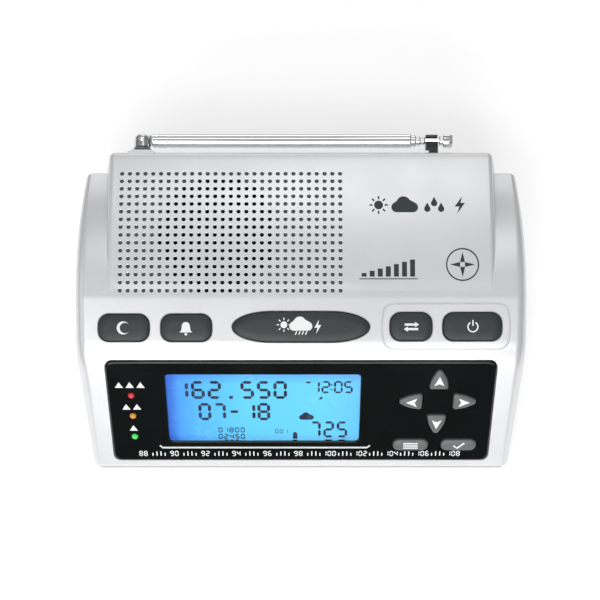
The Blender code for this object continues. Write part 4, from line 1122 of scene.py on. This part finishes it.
def make_tubes():
    start = 4.7
    end = from_pin("antenna_tube_1")[1].x
    collar = [(0, 0), (3.0, 0), (3.35, 0.35), (3.35, 1.6), (3.12, 1.8), (3.12, 2.3), (3.35, 2.5)]
    collar += [(3.35, 7.0), (3.1, 7.2), (3.1, 7.7), (3.3, 7.9)]
    mouth = [(3.3, 1.4), (3.34, 1.2), (3.34, 0.35), (3.1, 0), (2.9, 0), (2.9, 0.4), (3.05, 0.5)]
    profile = [(radius, start + height) for radius, height in collar]
    profile += [(radius, end - depth) for radius, depth in mouth]
    profile += [(3.05, start + 4.6), (0, start + 4.6)]
    tube = solid("outer_tube", lathe(profile, ALONG_X, 64), PIVOT, "chrome")
    join(tube, block((0.6, -2.2, -TONGUE), (start + 2.0, 2.2, TONGUE)), PIVOT)
    join(tube, plates([circle(2.75, 40)], -TONGUE, TONGUE), PIVOT)
    carve(tube, plates([circle(PIN_HOLE)], -3.0, 3.0), PIVOT)
    dress(tube, weighted=True, **standing("antenna_tube_1", "chrome", "antenna_tube_1"))
    bead = [(0, 1.75), (-0.16, 1.6), (-0.16, 1.35), (0.08, 1.15), (0.14, 0.7), (0.02, 0.2), (-0.2, 0)]
    for n, (outer, inner) in enumerate(((2.8, 2.52), (2.27, 2.0), (1.75, 1.5)), 2):
        node = f"antenna_tube_{n}"
        low, high = from_pin(node)
        profile = [(inner, low.x), (outer, low.x)]
        profile += [(outer + swell, high.x - depth) for swell, depth in bead]
        profile.append((inner, high.x))
        details = standing(node, "chrome", node)
        piece(f"tube_{n}", lathe(profile, ALONG_X, 64), "chrome", PIVOT, **details)
    low, high = from_pin("antenna_rod")
    details = standing("antenna_rod", "chrome", "antenna_rod")
    rod = [(0, low.x), (1.25, low.x), (1.25, high.x), (0, high.x)]
    piece("rod", lathe(rod, ALONG_X, 40), "chrome", PIVOT, **details)


def fluted(radius, depth, flutes=14, steps=4):
    """A round outline with shallow grooves along the piece."""
    points = []
    for n in range(flutes * steps):
        dip = 0.5 + 0.5 * math.cos(2 * math.pi * n / steps)
        angle = math.tau * n / (flutes * steps)
        r = radius - depth * (1 - dip)
        points.append((r * math.cos(angle), r * math.sin(angle)))
    return points


def make_tip():
    low, high = from_pin("antenna_tip")
    start = low.x
    length = high.x - start
    layers = [(2.0, 0.0, 0.0), (2.3, 0.2, 0.0), (2.3, 0.8, 0.0), (1.9, 1.0, 0.0), (1.9, 1.3, 0.0)]
    layers += [(3.05, 1.45, 0.0), (3.35, 1.8, 0.12), (3.35, length - 0.7, 0.12)]
    layers += [(3.1, length - 0.15, 0.05), (2.7, length, 0.0)]
    shape = tower([(fluted(radius, depth), start + height) for radius, height, depth in layers])
    tip = solid("tip", shape, PIVOT @ ALONG_X, "chrome")
    far = from_pin("antenna_rod")[1].x + 0.3
    carve(tip, plates([circle(1.55, 40)], start - 1.0, far), PIVOT @ ALONG_X)
    dress(tip, **standing("antenna_tip", "chrome", "antenna_rod"))


def make_clip():
    low, high = from_pin("antenna_clip")
    slot = 1.45
    outline = [(-slot - 2.0, -3.6), (slot + 0.5, -3.6), (slot + 1.2, -2.8), (slot + 1.2, 0.7)]
    outline += [(slot + 0.7, 1.2), (slot, 0.8), (slot, -0.9)]
    outline += arc(slot, 0, -180, 10, (0.0, -0.9))[1:-1]
    outline += [(-slot, -0.9), (-slot, 1.3), (-slot - 0.9, 1.9), (-slot - 2.0, 1.6)]
    shape = bmesh.new()
    add_tower(shape, [(outline, low.x), (outline, high.x)], ACROSS)
    clip = solid("clip", shape, PIVOT, "black_plastic")
    join(clip, block((low.x + 1.4, low.y, -3.2), (high.x - 0.1, -slot - 1.4, 1.4)), PIVOT)
    dress(clip, bevel=0.22, **standing("antenna_clip", "black_plastic"))


# The rear sockets, and the finish of every solid that is shown as it is.


def make_sockets():
    for node, outer, bore, pin, flange, look in (
        ("dc_jack", 4.3, 2.9, 0.8, 0, "black_plastic"),
        ("antenna_jack", 3.2, 1.75, 0, 4.4, "nickel"),
        ("alert_jack", 2.8, 1.75, 0, 0, "black_plastic"),
    ):
        low, high = box_mm(node)
        spot = middle_of(node)
        mouth = high.y
        profile = [(0, low.y), (outer, low.y), (outer, mouth - 0.3)]
        if flange:
            profile[-1:] = [(outer, mouth - 0.9), (flange, mouth - 0.9), (flange, mouth - 0.25)]
            outer = flange
        profile += [(outer - 0.3, mouth), (bore + 0.25, mouth), (bore, mouth - 0.3), (bore, low.y + 3.0)]
        if pin:
            profile += [(pin, low.y + 3.0), (pin, mouth - 2.6), (0, mouth - 2.0)]
        else:
            profile += [(0, low.y + 3.0)]
        place = Matrix.Translation((spot.x, 0, spot.z))
        piece(f"{node}_socket", lathe(profile, ALONG_Y), look, place, **standing(node, look))


def finish_solids():
    slots = {part["node"]: part["material_slot"] for part in frame["record"]["subparts"]}
    for name, obj in frame["nodes"].items():
        obj.data.materials.clear()
        obj.data.materials.append(LOOKS[slots[name]])


make_upper_case()
make_grille_cloth()
make_panel()
make_display()
make_keys()
make_key_marks()
make_panel_marks()
make_pod_marks()
make_lamps()
make_knuckle()
make_tubes()
make_tip()
make_clip()
make_sockets()
finish_solids()


# Floor, light and camera, in metres.

FLOOR_REACH = 6.0
FLOOR_GLOW = 0.34
LIGHT_REACH = 1.1
AIM = Vector((0.0, 0.0, 0.04))
CAMERA_BACK = 0.12809
CAMERA_HEIGHT = 0.56162
CAMERA_TILT = 14.0
CAMERA_SHIFT = (-1 / 600, 5 / 600)


def make_floor():
    shape = bmesh.new()
    bmesh.ops.create_grid(shape, x_segments=2, y_segments=2, size=FLOOR_REACH)
    mesh = bpy.data.meshes.new("floor")
    shape.to_mesh(mesh)
    shape.free()
    floor = new_object("floor", mesh)
    floor.location = (0, 0, cad_low[2] - 0.0002)
    paper = surface("pale_paper", (0.9, 0.9, 0.9), rough=(0.8, 0.9), tone=0.004, bump=0.01, scratches=0.0)
    light_up(paper, (1.0, 1.0, 1.0), FLOOR_GLOW)
    mesh.materials.append(paper)


def soft_box(name, lean, across, size, radiance):
    light = bpy.data.lights.new(name, "AREA")
    light.shape = "RECTANGLE"
    light.size, light.size_y = size
    light.energy = radiance * math.pi * size[0] * size[1]
    lamp = new_object(name, light)
    away = rotation(across, "Z") @ rotation(lean, "X")
    lamp.location = AIM + away @ Vector((0.0, 0.0, LIGHT_REACH))
    lamp.rotation_euler = (AIM - lamp.location).to_track_quat("-Z", "Y").to_euler()


# Each box's lean from overhead towards the front and turn to the right in degrees, its size in
# metres and its radiance.
SOFT_BOXES = [
    ("top", -16.0, 0.0, (0.45, 0.24), 2.3),
    ("rear_right", -28.0, -35.0, (0.45, 0.24), 0.9),
    ("rear_low", -66.0, 0.0, (0.9, 0.4), 1.6),
    ("front_left", 32.0, -35.0, (0.45, 0.24), 3.6),
    ("front", 35.0, 0.0, (0.45, 0.24), 4.0),
    ("front_right", 32.0, 35.0, (0.45, 0.24), 1.6),
    ("front_middle", 54.0, -14.0, (1.0, 0.3), 3.4),
    ("front_low", 71.0, 0.0, (0.8, 0.2), 6.2),
    ("left", 58.0, -80.0, (0.6, 0.4), 0.7),
]
# The dome's grey by height, with the horizon at 0 and overhead at 1.
DOME_STOPS = [(0.2, 0.12), (0.3, 0.3), (0.65, 0.3), (0.75, 0.38)]


def make_light():
    """A dim studio with soft boxes all round, the strongest in front."""
    world = bpy.data.worlds.new("studio")
    bpy.context.scene.world = world
    world.use_nodes = True
    tree = world.node_tree
    place = node_of(tree, "TexCoord", {}).outputs["Generated"]
    parts = node_of(tree, "SeparateXYZ", {0: place})
    stops = [(height, (grey,) * 3) for height, grey in DOME_STOPS]
    feed(tree, tree.nodes["Background"].inputs["Color"], ramp(tree, parts.outputs[2], stops))
    for box in SOFT_BOXES:
        soft_box(*box)


def make_camera():
    camera = bpy.data.cameras.new("camera")
    camera.lens = 69.89
    camera.sensor_width = 36.0
    camera.shift_x, camera.shift_y = CAMERA_SHIFT
    view = new_object("camera", camera)
    middle_y = (CASE_LOW.y + CASE_HIGH.y) / 2 * MM
    view.location = (0.0, middle_y - CAMERA_BACK, CAMERA_HEIGHT)
    view.rotation_euler = (math.radians(CAMERA_TILT), 0.0, 0.0)
    bpy.context.scene.camera = view
    bpy.context.scene.view_settings.view_transform = "Standard"


make_floor()
make_light()
make_camera()
